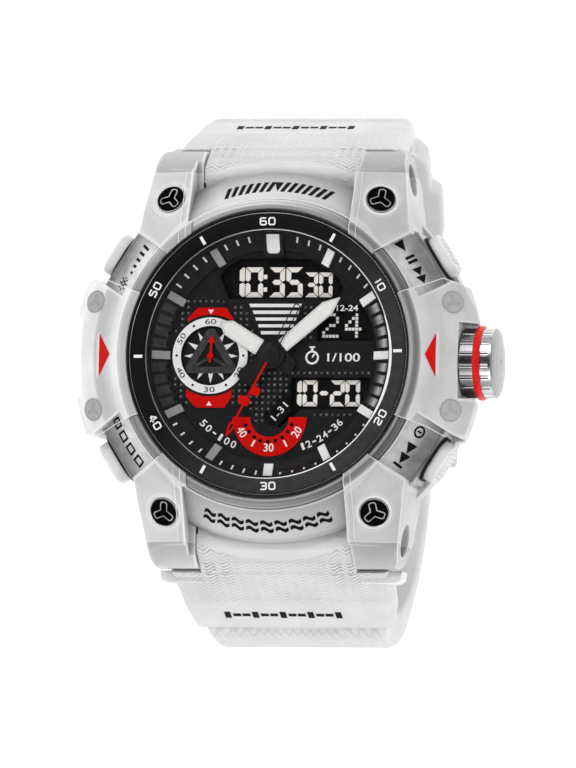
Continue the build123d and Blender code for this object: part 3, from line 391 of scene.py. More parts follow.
M_LUME = plain("hand_lume", (0.88, 0.875, 0.84), 0.60, 0.03, 2.5, 0.08, Specular_IOR_Level=0.15)
M_BLACKHUB = plain("hand_hub_black", (0.010, 0.010, 0.011), 0.45, 0.3, 1.5, 0.04, Specular_IOR_Level=0.2)
M_STEEL = plain("steel_satin", (0.56, 0.56, 0.57), 0.26, 0.10, 1.4, 0.04, Metallic=1.0)
M_POLISH = plain("steel_polished", (0.68, 0.68, 0.69), 0.13, 0.06, 0.7, 0.02, Metallic=1.0)
M_SCREW = plain("screw_black_face", (0.002, 0.002, 0.002), 0.25, 0.3, 1.6, 0.03, Specular_IOR_Level=0.03)
M_RIM = plain("screw_rim_steel", (0.42, 0.42, 0.42), 0.24, 0.7, 0.45, 0.03, Metallic=1.0)
M_RUBBER = plain("seal_rubber_black", (0.012, 0.012, 0.012), 0.7, 0.3, 3.0, 0.1, Specular_IOR_Level=0.25)
M_BRASS = plain("brass_gear", (0.70, 0.50, 0.22), 0.28, 0.10, 2.0, 0.04, Metallic=1.0)
M_COPPER = plain("copper_wire", (0.72, 0.34, 0.18), 0.32, 0.15, 5.0, 0.2, Metallic=1.0)
M_MODULE = plain("module_black", (0.03, 0.03, 0.033), 0.55, 0.2, 2.0, 0.1)
M_BOARD = plain("board_green", (0.02, 0.11, 0.05), 0.45, 0.3, 1.2, 0.1)
M_CROWN = Mat("crown_chrome", (0.6, 0.6, 0.6), 0.16, Metallic=1.0)
_x, _y, _z = M_CROWN.xyz()
# painted reflection: chrome colour darker at the base and dome, brighter across the fluted middle
M_CROWN.color(M_CROWN.mix(1.0, M_CROWN.ramp(M_CROWN.span(_x, 24.9, 30.0), [(0.0, 0.24), (0.30, 0.28), (0.40, 0.32), (0.58, 0.52), (0.84, 0.56), (0.89, 0.32), (1.0, 0.26)]), M_CROWN.ramp(M_CROWN.noise(0.8, 2.0), [(0.3, 0.92), (0.7, 1.06)]), "MULTIPLY"))
M_CROWN.rough(M_CROWN.ramp(M_CROWN.noise(3.0, 3.0), [(0.3, 0.14), (0.7, 0.26)]))
M_BACK = plain("case_back_steel", (0.50, 0.50, 0.51), 0.28, 0.08, 1.2, 0.03, Metallic=1.0)
_x, _y, _z = M_BACK.xyz()
_lathe = M_BACK.new("ShaderNodeTexWave")
_lathe.wave_type = "RINGS"
_lathe.rings_direction = "Z"
_lathe.inputs["Scale"].default_value = 3.2
_lathe.inputs["Distortion"].default_value = 0.6
M_BACK.link(M_BACK.co(), _lathe.inputs["Vector"])
M_BACK.bump(_lathe.outputs["Fac"], 0.10, 0.02)

# applied hour markers: light metal faces, with painted shade making them darker on the left side
M_MARK = Mat("marker_faces", (0.8, 0.8, 0.8), 0.42, Specular_IOR_Level=0.3)
_x, _y, _z = M_MARK.xyz()
_marker_shade = M_MARK.ramp(M_MARK.span(_x, -10.0, 6.0), [(0.0, 0.30), (0.30, 0.36), (0.48, 0.78), (0.66, 0.92), (1.0, 0.98)])
M_MARK.color(M_MARK.mix(1.0, _marker_shade, M_MARK.ramp(M_MARK.noise(3.0, 3.0), [(0.3, 0.93), (0.7, 1.05)]), "MULTIPLY"))
M_MARK.bump(M_MARK.noise(20.0, 2.0), 0.05, 0.01)

# flange blocks: a lit copy with a painted highlight band across it, and a plain dark shaded copy for the other side
M_BLOCKP = Mat("flange_block_lit", (0.3, 0.3, 0.3), 0.35, Specular_IOR_Level=0.3)
_br = M_BLOCKP.radius()
M_BLOCKP.color(M_BLOCKP.mix(1.0, M_BLOCKP.ramp(M_BLOCKP.span(_br, 14.1, 16.1), [(0.0, 0.015), (0.2, 0.04), (0.38, 0.22), (0.60, 0.60), (0.78, 0.42), (0.88, 0.02), (1.0, 0.01)]), M_BLOCKP.ramp(M_BLOCKP.noise(1.2, 3.0), [(0.3, 0.6), (0.7, 1.2)]), "MULTIPLY"))
M_BLOCKD = plain("flange_block_shaded", (0.022, 0.021, 0.024), 0.4, 0.5, 0.8, 0.05, Specular_IOR_Level=0.3)

# crystal: clear, with a faint coated reflection that grows towards the rim
M_GLASS = bpy.data.materials.new("crystal_clear")
M_GLASS.use_nodes = True
_nt = M_GLASS.node_tree
_pb = _nt.nodes["Principled BSDF"]
_pb.inputs["Base Color"].default_value = (0.9, 0.92, 0.95, 1)
_pb.inputs["Roughness"].default_value = 0.03
_pb.inputs["Metallic"].default_value = 0.0
_tr = _nt.nodes.new("ShaderNodeBsdfTransparent")
_fr = _nt.nodes.new("ShaderNodeFresnel")
_fr.inputs["IOR"].default_value = 1.3
_ml = _nt.nodes.new("ShaderNodeMath")
_ml.operation = "MULTIPLY"
_ml.inputs[1].default_value = 0.25
_ms = _nt.nodes.new("ShaderNodeMixShader")
_gl = _nt.nodes.new("ShaderNodeBsdfGlossy")
_gl.inputs["Roughness"].default_value = 0.03
_nt.links.new(_fr.outputs[0], _ml.inputs[0])
_nt.links.new(_ml.outputs[0], _ms.inputs[0])
_nt.links.new(_tr.outputs[0], _ms.inputs[1])
_nt.links.new(_gl.outputs[0], _ms.inputs[2])
_nt.links.new(_ms.outputs[0], _nt.nodes["Material Output"].inputs["Surface"])


# ------------------------------------------------------------------ building helpers
def link_mesh(name, verts, faces, mat, body, smooth=None, mats=None):
    """A mesh object from millimetre vertices that rides on a body."""
    me = bpy.data.meshes.new(name)
    me.from_pydata([tuple(c * MM for c in v) for v in verts], [], faces)
    me.validate()
    me.update()
    for mm in ([mat] if mats is None else mats):
        me.materials.append(mm.m if isinstance(mm, Mat) else mm)
    ob = bpy.data.objects.new(name, me)
    scene.collection.objects.link(ob)
    if smooth is not None:
        for p in me.polygons:
            p.use_smooth = True
        if smooth < 179:
            me.set_sharp_from_angle(angle=radians(smooth))
    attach(ob, body)
    return ob


class Bag:
    """Collects closed shells into one mesh."""

    def __init__(self):
        self.v, self.f = [], []

    def add(self, verts, faces):
        o = len(self.v)
        self.v += [tuple(p) for p in verts]
        self.f += [tuple(i + o for i in f) for f in faces]

    def prism(self, loops, z0, z1, place=None):
        """A flat plate from an outline (and holes), between heights z0 and z1, put in place by a function of (x, y, z)."""
        flat = [p for lp in loops for p in lp]
        tris = tessellate_polygon([[Vector((p[0], p[1], 0)) for p in lp] for lp in loops])
        n = len(flat)
        pl = place or (lambda x, y, z: (x, y, z))
        vs = [pl(p[0], p[1], z1) for p in flat] + [pl(p[0], p[1], z0) for p in flat]
        fs = []
        for t in tris:
            a, b, c = [flat[i] for i in t]
            area = (b[0] - a[0]) * (c[1] - a[1]) - (b[1] - a[1]) * (c[0] - a[0])
            if abs(area) < 1e-12:
                continue
            t = tuple(t) if area > 0 else tuple(reversed(t))
            fs.append(t)
            fs.append(tuple(i + n for i in reversed(t)))
        k = 0
        for li, lp in enumerate(loops):
            m = len(lp)
            area = sum(lp[i][0] * lp[(i + 1) % m][1] - lp[(i + 1) % m][0] * lp[i][1] for i in range(m))
            ccw = (area > 0) == (li == 0)
            for i in range(m):
                a, b = k + i, k + (i + 1) % m
                fs.append((a, a + n, b + n, b) if ccw else (b, b + n, a + n, a))
            k += m
        self.add(vs, fs)

    def lathe(self, prof, seg=96, cx=0.0, cy=0.0, place=None, closed=True):
        """A revolved closed outline of (radius, z)."""
        m = len(prof)
        pl = place or (lambda x, y, z: (x, y, z))
        vs, fs = [], []
        for s in range(seg):
            a = 2 * pi * s / seg
            for r, z in prof:
                vs.append(pl(cx + r * cos(a), cy + r * sin(a), z))
        for s in range(seg):
            t = (s + 1) % seg
            for i in range(m if closed else m - 1):
                j = (i + 1) % m
                fs.append((s * m + i, t * m + i, t * m + j, s * m + j))
        self.add(vs, fs)

    def obj(self, name, mat, body, smooth=None, slot=None):
        return link_mesh(name, self.v, self.f, mat, body, smooth)


def rot2(p, deg):
    a = radians(deg)
    return (p[0] * cos(a) - p[1] * sin(a), p[0] * sin(a) + p[1] * cos(a))


def at(cx, cy, deg=0.0, base=None):
    """A place function: turn by deg, then move to (cx, cy)."""
    def f(x, y, z):
        q = rot2((x, y), deg)
        p = (q[0] + cx, q[1] + cy, z)
        return base(*p) if base else p
    return f


def disc(r, n=24, cx=0.0, cy=0.0):
    return [(cx + r * cos(2 * pi * i / n), cy + r * sin(2 * pi * i / n)) for i in range(n)]


def box2(x0, x1, y0, y1):
    return [(x0, y0), (x1, y0), (x1, y1), (x0, y1)]


_text_cache = {}


def text_shape(s, w, h, bold=0.0):
    """Numerals as a closed mesh: vertices scaled to w by h, centred, with z from 0 to 1."""
    key = (s, w, h, bold)
    if key in _text_cache:
        return _text_cache[key]
    cu = bpy.data.curves.new("numeral", "FONT")
    cu.body = s
    cu.size = 1.0
    cu.offset = bold
    cu.extrude = 0.05
    cu.resolution_u = 4
    ob = bpy.data.objects.new("numeral", cu)
    scene.collection.objects.link(ob)
    bpy.context.view_layer.update()
    me = bpy.data.meshes.new_from_object(ob.evaluated_get(bpy.context.evaluated_depsgraph_get()))
    bm = bmesh.new()
    bm.from_mesh(me)
    bmesh.ops.remove_doubles(bm, verts=bm.verts, dist=1e-5)
    bm.normal_update()
    vs = np.array([v.co[:] for v in bm.verts])
    fs = [tuple(v.index for v in f.verts) for f in bm.faces]
    bm.free()
    bpy.data.objects.remove(ob)
    bpy.data.curves.remove(cu)
    bpy.data.meshes.remove(me)
    lo, hi = vs.min(0), vs.max(0)
    vs[:, 0] = (vs[:, 0] - (lo[0] + hi[0]) / 2) * w / (hi[0] - lo[0])
    vs[:, 1] = (vs[:, 1] - (lo[1] + hi[1]) / 2) * h / (hi[1] - lo[1])
    vs[:, 2] = (vs[:, 2] - lo[2]) / (hi[2] - lo[2])
    _text_cache[key] = (vs, fs)
    return vs, fs


def put_text(bag, s, w, h, place, z0, z1, bold=0.0):
    vs, fs = text_shape(s, w, h, bold)
    bag.add([place(v[0], v[1], z0 + (z1 - z0) * v[2]) for v in vs], fs)


def chamfered(pts, closed, c):
    """The path with its corners cut, so strokes turn softly."""
    n = len(pts)
    out = []
    for i, p in enumerate(pts):
        if not closed and i in (0, n - 1):
            out.append(p)
            continue
        a, b = pts[i - 1], pts[(i + 1) % n]
        for q in (a, b):
            L = hypot(q[0] - p[0], q[1] - p[1])
            k = min(c, L * 0.45) / L
            out.append((p[0] + (q[0] - p[0]) * k, p[1] + (q[1] - p[1]) * k))
    return out


def side_path(pts, closed, off):
    n = len(pts)
    out = []
    for i in range(n):
        if closed:
            a, b = pts[i - 1], pts[(i + 1) % n]
        else:
            a, b = pts[max(i - 1, 0)], pts[min(i + 1, n - 1)]
        p = pts[i]
        d1 = (p[0] - a[0], p[1] - a[1])
        d2 = (b[0] - p[0], b[1] - p[1])
        if d1 == (0, 0) or hypot(*d1) < 1e-9:
            d1 = d2
        if hypot(*d2) < 1e-9:
            d2 = d1
        l1, l2 = hypot(*d1), hypot(*d2)
        n1, n2 = (-d1[1] / l1, d1[0] / l1), (-d2[1] / l2, d2[0] / l2)
        m = (n1[0] + n2[0], n1[1] + n2[1])
        k = 2.0 / max(0.5, m[0] ** 2 + m[1] ** 2)
        out.append((p[0] + m[0] * k * off, p[1] + m[1] * k * off))
    return out


STROKES = {
    "0": [(True, [(0, 0), (1, 0), (1, 1), (0, 1)])],
    "1": [(False, [(0.10, 0.80), (0.5, 1.0), (0.5, 0.0)])],
    "2": [(False, [(0, 0.86), (0, 1), (1, 1), (1, 0.50), (0, 0.40), (0, 0), (1, 0)])],
    "3": [(False, [(0, 1), (1, 1), (1, 0), (0, 0)]), (False, [(0.25, 0.5), (0.83, 0.5)])],
    "4": [(False, [(0.74, -0.12), (0.74, 1.1)]), (False, [(0.62, 1.0), (0.0, 0.27), (1.15, 0.27)])],
    "5": [(False, [(1, 1), (0.02, 1), (0.02, 0.56), (1, 0.56), (1, 0), (0, 0)])],
    "6": [(False, [(1, 1), (0, 1), (0, 0), (1, 0), (1, 0.56), (0.17, 0.56)])],
}


def stroke_text(bag, s, w, h, gap, t, place, z0, z1):
    """Wide squared numerals drawn with strokes of width t, centred."""
    ws = [w * (0.42 if ch == "1" else 1.0) for ch in s]
    total = sum(ws) + gap * (len(s) - 1)
    x0 = -total / 2
    for ch, cw_ in zip(s, ws):
        for closed, pts in STROKES[ch]:
            iw, ih = cw_ - t, h - t
            q = [(x0 + t / 2 + px * iw, -h / 2 + t / 2 + py * ih) for px, py in pts]
            q = chamfered(q, closed, 0.13)
            a, b = side_path(q, closed, t / 2), side_path(q, closed, -t / 2)
            if closed:
                bag.prism([b, a[::-1]], z0, z1, place)
            else:
                bag.prism([b + a[::-1]], z0, z1, place)
        x0 += cw_ + gap


# ------------------------------------------------------------------ finishes on the carried-over nodes
def paint(node, mat):
    o = N[node]
    o.data.materials.clear()
    o.data.materials.append(mat.m if isinstance(mat, Mat) else mat)


def soften(node, width_mm, angle=32.0, seg=2):
    o = N[node]
    w = o.modifiers.new("weld", "WELD")
    w.merge_threshold = 0.000002
    b = o.modifiers.new("soft_edge", "BEVEL")
    b.width = width_mm * MM
    b.segments = seg
    b.limit_method = "ANGLE"
    b.angle_limit = radians(angle)
    b.use_clamp_overlap = True
    b.harden_normals = False


for node, mat in {
    "mid_case": M_CASE, "bezel_frame": M_FRAME, "corner_screws": M_SCREW, "guard_triangles": M_RED, "minute_ring": M_RING, "crystal": M_GLASS,
    "crystal_gasket": M_RUBBER, "flange_ring": M_FLANGE, "hour_markers": M_MARK, "dial_plate": M_DIAL, "dial_inlays": M_RED, "subdial_ring": M_SUBRING,
    "subdial_frame": M_SUBTRI, "lcd_panel": M_LCD, "movement_frame": M_MODULE, "circuit_board": M_BOARD, "zebra_strips": M_RUBBER, "battery": M_STEEL,
    "battery_clip": M_STEEL, "buzzer": M_BRASS, "motor_coils": M_COPPER, "motor_stators": M_STEEL, "case_back": M_BACK, "case_back_gasket": M_RUBBER,
    "case_back_screws": M_STEEL, "pusher_collars": M_RUBBER, "pusher_springs": M_STEEL, "crown_tube": M_POLISH, "crown_cap": M_CROWN,
    "crown_ring": M_REDGLOSS, "crown_stem": M_STEEL, "crown_gasket": M_RUBBER, "setting_lever": M_STEEL, "motion_wheel": M_BRASS, "cannon_pinion": M_BRASS,
    "hour_wheel": M_BRASS, "seconds_arbor": M_STEEL, "hour_hand": M_HAND, "minute_hand": M_HAND, "second_hand": M_RED, "subdial_hand": M_RED,
    "strap_12": M_STRAP, "strap_6": M_STRAP, "keeper_fixed": M_KEEP, "keeper_free": M_KEEP, "spring_bar_12": M_STEEL, "spring_bar_6": M_STEEL,
    "buckle_bar": M_STEEL, "buckle_frame": M_STEEL, "buckle_tongue": M_STEEL,
}.items():
    paint(node, mat)
for k in ("2", "4", "8", "10"):
    paint(f"pusher_{k}_cap", M_CAPS)
    paint(f"pusher_{k}_stem", M_STEEL)


# ------------------------------------------------------------------ minute ring print, edges with a painted reflection and a painted glint on the lip
RING_Z = 16.0
ring_print = Bag()
TURN = 1.3
for i, s in enumerate(("60", "10", "20", "30", "40", "50")):
    a = 60.0 * i - TURN
    x, y = 17.5 * sin(radians(a)), 17.5 * cos(radians(a))
    deg = -a if s in ("60", "10", "50") else 180.0 - a
    stroke_text(ring_print, s, 0.96, 1.08, 0.20, 0.195, at(x, y, deg), RING_Z - 0.02, RING_Z + 0.035)
for i in range(6):
    a = 30.0 + 60.0 * i - TURN
    x, y = 17.47 * sin(radians(a)), 17.47 * cos(radians(a))
    ring_print.prism([box2(-0.2, 0.2, -0.58, 0.58)], RING_Z - 0.02, RING_Z + 0.035, at(x, y, -a))
ring_print.obj("ring_numerals", M_PRINT_AND_GLINT, "case", slot="marker_paint")

# ring itself, turned finely, with its stepped outer edge
rb = Bag()
rb.lathe([(16.44, 15.02), (16.44, 15.88), (16.50, 15.94), (16.62, RING_Z - 0.01), (16.80, RING_Z), (18.36, RING_Z), (18.44, RING_Z - 0.015), (18.50, 15.93), (18.70, 15.74), (18.745, 15.68), (18.74, 15.02)][::-1], 240)
ring_ob = rb.obj("minute_ring_turned", M_RING, "case", smooth=24, slot="ring_black")
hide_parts("minute_ring")
eb = Bag()
eb.lathe([(16.40, 15.84), (16.40, 15.93), (16.47, 15.985), (16.56, 15.985), (16.57, 15.93), (16.50, 15.84)][::-1], 240)
# painted glint: a thin white strip on the ring lip towards 3 o'clock
lip = Bag()
for a0, a1 in ((72.0, 126.0),):
    n = 40
    prof = []
    vs, fs = [], []
    for i in range(n + 1):
        q = radians(a0 + (a1 - a0) * i / n)
        w = 0.30 * sin(pi * i / n) ** 0.5 + 0.02
        for r, z in ((16.36, 15.80), (16.36, 15.99), (16.40 + w, 16.012), (16.40 + w, 15.80)):
            vs.append((r * sin(q), r * cos(q), z))
    for i in range(n):
        for k in range(4):
            j = (k + 1) % 4
            fs.append((i * 4 + k, (i + 1) * 4 + k, (i + 1) * 4 + j, i * 4 + j))
    fs += [(3, 2, 1, 0), (n * 4, n * 4 + 1, n * 4 + 2, n * 4 + 3)]
    lip.add(vs, fs)
lip.obj("ring_lip_glint", M_PRINT_AND_GLINT, "case", slot="polished_steel")
eb.obj("ring_inner_edge", M_EDGE, "case", smooth=40, slot="polished_steel")
ob_ = Bag()
ob_.lathe([(18.60, 15.78), (18.60, 15.90), (18.66, 15.94), (18.735, 15.90), (18.75, 15.78)][::-1], 240)
ob_.obj("ring_outer_line", M_EDGE, "case", smooth=40, slot="polished_steel")


joint = Bag()
joint.lathe([(18.77, 15.72), (18.77, 16.20), (18.84, 16.30), (18.96, 16.33), (19.04, 16.30), (19.07, 16.20), (19.07, 15.72)][::-1], 240)
joint.obj("ring_joint_line", M_BLACKHUB, "case", smooth=40, slot="seal_rubber")

# ------------------------------------------------------------------ display digits
LCD_Z = 12.2
SEGS = {"0": "abcdef", "1": "bc", "2": "abged", "3": "abgcd", "4": "fgbc", "5": "afgcd", "6": "afgedc", "7": "abc", "8": "abcdefg", "9": "abcdfg"}


def seven(bag, ch, x0, x1, y0, y1, t, z0, z1, g=0.055):
    W, H = x1 - x0, y1 - y0
    h = H / 2
    shapes = {
        "a": [(g, H), (W - g, H), (W - t - g, H - t), (t + g, H - t)],
        "d": [(g, 0), (t + g, t), (W - t - g, t), (W - g, 0)],
        "g": [(t * 0.55 + g, h), (t + g, h + t / 2), (W - t - g, h + t / 2), (W - t * 0.55 - g, h), (W - t - g, h - t / 2), (t + g, h - t / 2)],
        "f": [(0, H - g - 0.05), (t, H - t - g), (t, h + t / 2 + g), (t / 2, h + g * 1.2), (0, h + g + t * 0.35)],
        "e": [(0, g + 0.05), (0, h - g - t * 0.35), (t / 2, h - g * 1.2), (t, h - t / 2 - g), (t, t + g)],
        "b": [(W, H - g - 0.05), (W, h + g + t * 0.35), (W - t / 2, h + g * 1.2), (W - t, h + t / 2 + g), (W - t, H - t - g)],
        "c": [(W, g + 0.05), (W - t, t + g), (W - t, h - t / 2 - g), (W - t / 2, h - g * 1.2), (W, h - g - t * 0.35)],
    }
    for s in SEGS[ch]:
        pts = [(x0 + p[0], y0 + p[1]) for p in shapes[s]]
        bag.prism([pts], z0, z1)


OX, OY = 0.26, 0.12
lz0, lz1 = LCD_Z - 0.01, LCD_Z + 0.03
seg = Bag()


def one(bag, x0, x1, y0, y1):
    """The narrow digit 1: two pointed bars."""
    h = (y0 + y1) / 2
    w = x1 - x0
    for a, b in ((y0, h - 0.07), (h + 0.07, y1)):
        top = b == y1
        bag.prism([[(x0, a + (0.18 if top else 0.42)), (x0 + w * 0.62, a), (x1, a + 0.14), (x1, b - 0.14), (x0 + w * 0.62, b), (x0, b - (0.42 if top else 0.18))]], lz0, lz1)


one(seg, -5.09 + OX, -4.38 + OX, 7.7 + OY, 11.67 + OY)
seven(seg, "0", -4.27 + OX, -1.92 + OX, 7.7 + OY, 11.67 + OY, 0.66, lz0, lz1)
seg.prism([box2(-1.86 + OX, -1.36 + OX, 10.12 + OY, 10.68 + OY)], lz0, lz1)
seg.prism([box2(-1.86 + OX, -1.36 + OX, 8.44 + OY, 9.0 + OY)], lz0, lz1)
seven(seg, "3", -1.10 + OX, 1.03 + OX, 7.7 + OY, 11.67 + OY, 0.66, lz0, lz1)
seven(seg, "5", 1.20 + OX, 3.45 + OX, 7.7 + OY, 11.67 + OY, 0.66, lz0, lz1)
seven(seg, "3", 3.74 + OX, 5.50 + OX, 7.72 + OY, 10.99 + OY, 0.54, lz0, lz1)
seven(seg, "0", 5.64 + OX, 7.47 + OX, 7.72 + OY, 10.99 + OY, 0.54, lz0, lz1)
one(seg, 3.0 + OX, 3.63 + OX, -6.72 + OY, -3.28 + OY)
seven(seg, "0", 3.76 + OX, 5.75 + OX, -6.72 + OY, -3.28 + OY, 0.56, lz0, lz1)
seg.prism([[(6.02 + OX, -4.99 + OY), (6.28 + OX, -4.70 + OY), (6.97 + OX, -4.70 + OY), (7.23 + OX, -4.99 + OY), (6.97 + OX, -5.28 + OY), (6.28 + OX, -5.28 + OY)]], lz0, lz1)
seven(seg, "2", 7.44 + OX, 9.42 + OX, -6.72 + OY, -3.28 + OY, 0.56, lz0, lz1)
seven(seg, "0", 9.50 + OX, 11.48 + OX, -6.72 + OY, -3.28 + OY, 0.56, lz0, lz1)

FONT57 = {"2": ["01110", "10001", "00001", "00110", "01000", "10000", "11111"], "4": ["00010", "00110", "01010", "10010", "11111", "00010", "00010"]}


def dots(bag, ch, x0, y1, px, py, half):
    for r, row in enumerate(FONT57[ch]):
        for c, bit in enumerate(row):
            if bit == "1":
                cx, cy = x0 + c * px, y1 - r * py
                bag.prism([box2(cx - half, cx + half, cy - half, cy + half)], lz0, lz1)


dots(seg, "2", 6.40 + OX, 5.40 + OY, 0.458, 0.475, 0.188)
dots(seg, "4", 9.45 + OX, 5.40 + OY, 0.458, 0.475, 0.188)
seg.obj("display_digits", M_SEG, "case", slot="lcd")

# ------------------------------------------------------------------ dial print
DZ = 13.0
p0, p1 = DZ - 0.01, DZ + 0.03
white = Bag()
for (ax, ay, bx, by, ins) in ((-3.56, 6.76, 3.56, 6.31, 0.20), (-3.07, 5.86, 3.24, 5.41, 0.16), (-2.70, 4.94, 2.91, 4.53, 0.14), (-2.30, 4.05, 2.57, 3.63, 0.12), (-1.94, 3.14, 2.24, 2.71, 0.10)):
    white.prism([[(ax + OX, ay + OY), (ax + ins + OX, by + OY), (bx - ins + OX, by + OY), (bx + OX, ay + OY)]], p0, p1)
put_text(white, "12-24", 2.9, 0.80, at(9.7 + OX, 6.22 + OY), p0, p1, 0.02)


def on_arc(bag, text, r, start, step, w, h, z0, z1, bold, flip):
    """Characters set one by one along a circle about the dial centre, angles clockwise from 12."""
    for i, ch in enumerate(text):
        a = start + step * i
        x, y = r * sin(radians(a)), r * cos(radians(a))
        if ch == "-":
            bag.prism([box2(-0.26, 0.26, -0.11, 0.11)], z0, z1, at(x, y, 180 - a if flip else -a))
        else:
            put_text(bag, ch, w * (0.55 if ch == "1" else 1.0), h, at(x, y, 180 - a if flip else -a), z0, z1, bold)


on_arc(white, "50-100", 12.75, 225.5, -4.5, 0.70, 0.98, p0, p1, 0.012, True)
on_arc(white, "12-24-36", 12.75, 160.0, -3.75, 0.68, 0.95, p0, p1, 0.012, True)
# smooth band at 3 o'clock: stopwatch symbol and its resolution in plain figures
put_text(white, "1/100", 4.4, 1.12, at(9.6, -0.20), p0, p1, 0.012)
white.prism([disc(0.92, 32, 5.35, -0.22), disc(0.66, 32, 5.35, -0.22)], p0, p1)
white.prism([box2(-0.16, 0.16, 0.90, 1.30)], p0, p1, at(5.35, -0.22))
white.prism([box2(-0.38, 0.38, 1.28, 1.48)], p0, p1, at(5.35, -0.22))
white.prism([box2(-0.11, 0.11, 0.0, 0.60)], p0, p1, at(5.35, -0.22, -35))
white.obj("dial_print_white", M_PRINT_AND_GLINT, "case", slot="marker_paint")
slot_plate = Bag()


_round = [(0.35 + 1.38 * cos(radians(139.3 + 180 * i / 16)), -7.95 + 1.38 * sin(radians(139.3 + 180 * i / 16))) for i in range(17)]
slot_plate.prism([[(2.6, -3.21)] + _round + [(2.95, -7.05), (2.6, -7.05)]], 13.0, 13.02)
slot_plate.obj("date_slot_panel", M_LCD, "case", slot="lcd")
slotmark = Bag()
put_text(slotmark, "1-31", 2.6, 0.92, at(1.12, -7.35, 50), 13.02, 13.05, 0.0)
slotmark.obj("slot_marks", M_PRINT_AND_GLINT, "case", slot="lcd")

# red scale and trapezoid print
rz0, rz1 = 13.13, 13.17
arcp = Bag()
put_text(arcp, "40", 1.35, 1.10, at(-3.86, -10.10, -57), rz0, rz1, 0.012)
put_text(arcp, "30", 1.35, 1.10, at(-0.20, -12.15, 0), rz0, rz1, 0.012)
put_text(arcp, "20", 1.35, 1.10, at(3.52, -10.10, 57), rz0, rz1, 0.012)
arcp.prism([box2(-0.12, 0.12, -0.46, 0.46)], rz0, rz1, at(-2.30, -11.60, -28))
arcp.prism([box2(-0.12, 0.12, -0.46, 0.46)], rz0, rz1, at(2.02, -11.60, 28))
for s in (1, -1):
    arcp.prism([[(-8.4 - 0.36, -0.27 + s * 6.34), (-8.4 + 0.36, -0.27 + s * 6.34), (-8.4, -0.27 + s * 5.76)]], rz0, rz1)
arcp.obj("scale_print", M_PRINT_AND_GLINT, "case", slot="marker_paint")
adots = Bag()
for (x, y) in ((2.81, -9.14), (2.29, -10.07), (1.58, -10.82), (0.67, -11.26), (-0.36, -11.39), (-1.4, -11.26), (-2.2, -10.79), (-2.93, -10.08), (-3.38, -9.2)):
    adots.prism([disc(0.26, 16, x + 0.03, y)], rz0, rz1)
adots.obj("scale_dots", M_INK, "case", slot="dial_black")
inlay = Bag()
UX, UY = -0.18, -8.12
arc = []
for i in range(49):
    q = pi + pi * i / 48
    arc.append((UX + 5.0 * cos(q), UY + 5.2 * sin(q)))
for i in range(49):
    q = 2 * pi - pi * i / 48
    arc.append((UX + 2.62 * cos(q), UY + 2.62 * sin(q)))
inlay.prism([arc], 12.99, 13.14)
for s_ in (1, -1):
    # lower edge follows the ring, leaving a thin dark joint
    pts = [(-10.15, s_ * 6.62), (-6.35, s_ * 6.62), (-5.35, s_ * 5.15), (-5.42, s_ * 4.72)]
    low = []
    for i in range(15):
        q = radians(55 + 70 * i / 14)
        low.append((-8.4 + 5.42 * cos(q), s_ * (5.42 * sin(q) + 0.27 * s_)))
    pts += low
    pts += [(-11.5, s_ * 4.72), (-11.55, s_ * 5.15)]
    pts = [(x, y - 0.27) for x, y in pts]
    if s_ < 0:
        pts = pts[::-1]
    inlay.prism([pts], 12.99, 13.14)
inl = inlay.obj("dial_inlays_cut", M_RED, "case", slot="signal_red")
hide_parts("dial_inlays")

# lap dial: numerals, dots and pointed rays
SX = -8.4
lapn = Bag()
for i, s in enumerate(("60", "10", "20", "30", "40", "50")):
    a = 60.0 * i
    x, y = SX + 4.50 * sin(radians(a)), 4.50 * cos(radians(a))
    deg = -a if s in ("60", "10", "50") else 180.0 - a
    put_text(lapn, s, 1.50, 0.70, at(x, y, deg), 13.13, 13.17, 0.0)
    b = a + 30
    lapn.prism([disc(0.17, 16, SX + 4.5 * sin(radians(b)), 4.5 * cos(radians(b)))], 13.13, 13.17)
lapn.obj("lap_numerals", M_GREYINK, "case", slot="marker_paint")
rays = Bag()
for i in range(12):
    a = 30 * i
    if i in (0, 4, 8):
        continue
    rays.prism([[(-0.40, 2.05), (0.40, 2.05), (0.0, 3.62)]], 12.49, 12.55, at(SX, 0, -a))
rays.obj("lap_rays", M_SEG, "case", slot="marker_paint")

# flange minute strokes
strokes = Bag()
fr = [(14.0, 13.25), (15.1, 13.75), (16.25, 14.58)]


def flange_z(r):
    return float(np.interp(r, [p[0] for p in fr], [p[1] for p in fr]))


for m in range(60):
    if m % 5 == 0 or m in (1, 59, 11, 12, 13, 14, 16, 17, 18, 19, 41, 42, 43, 44, 46, 47, 48, 49):
        continue
    a = radians(6 * m)
    half = 0.12
    r0, r1 = 15.2, 15.92
    if 20 < m < 40:
        r0, r1 = 15.35, 15.95
    if 20 < m < 30:
        half, r0, r1 = 0.13, 15.6, 15.88
    pts = []
    for r in (r0, (r0 + r1) / 2, r1):
        for t in (-half, half):
            pts.append((r * sin(a) + t * cos(a), r * cos(a) - t * sin(a), flange_z(r)))
    vs = [(x, y, z + 0.03) for x, y, z in pts] + [(x, y, z - 0.02) for x, y, z in pts]
    fs = [(0, 2, 3, 1), (2, 4, 5, 3), (7, 9, 8, 6), (9, 11, 10, 8), (0, 1, 7, 6), (5, 4, 10, 11), (1, 3, 9, 7), (3, 5, 11, 9), (2, 0, 6, 8), (4, 2, 8, 10)]
    strokes.add(vs, fs)
strokes.obj("minute_strokes", M_TICK, "case", slot="marker_paint")

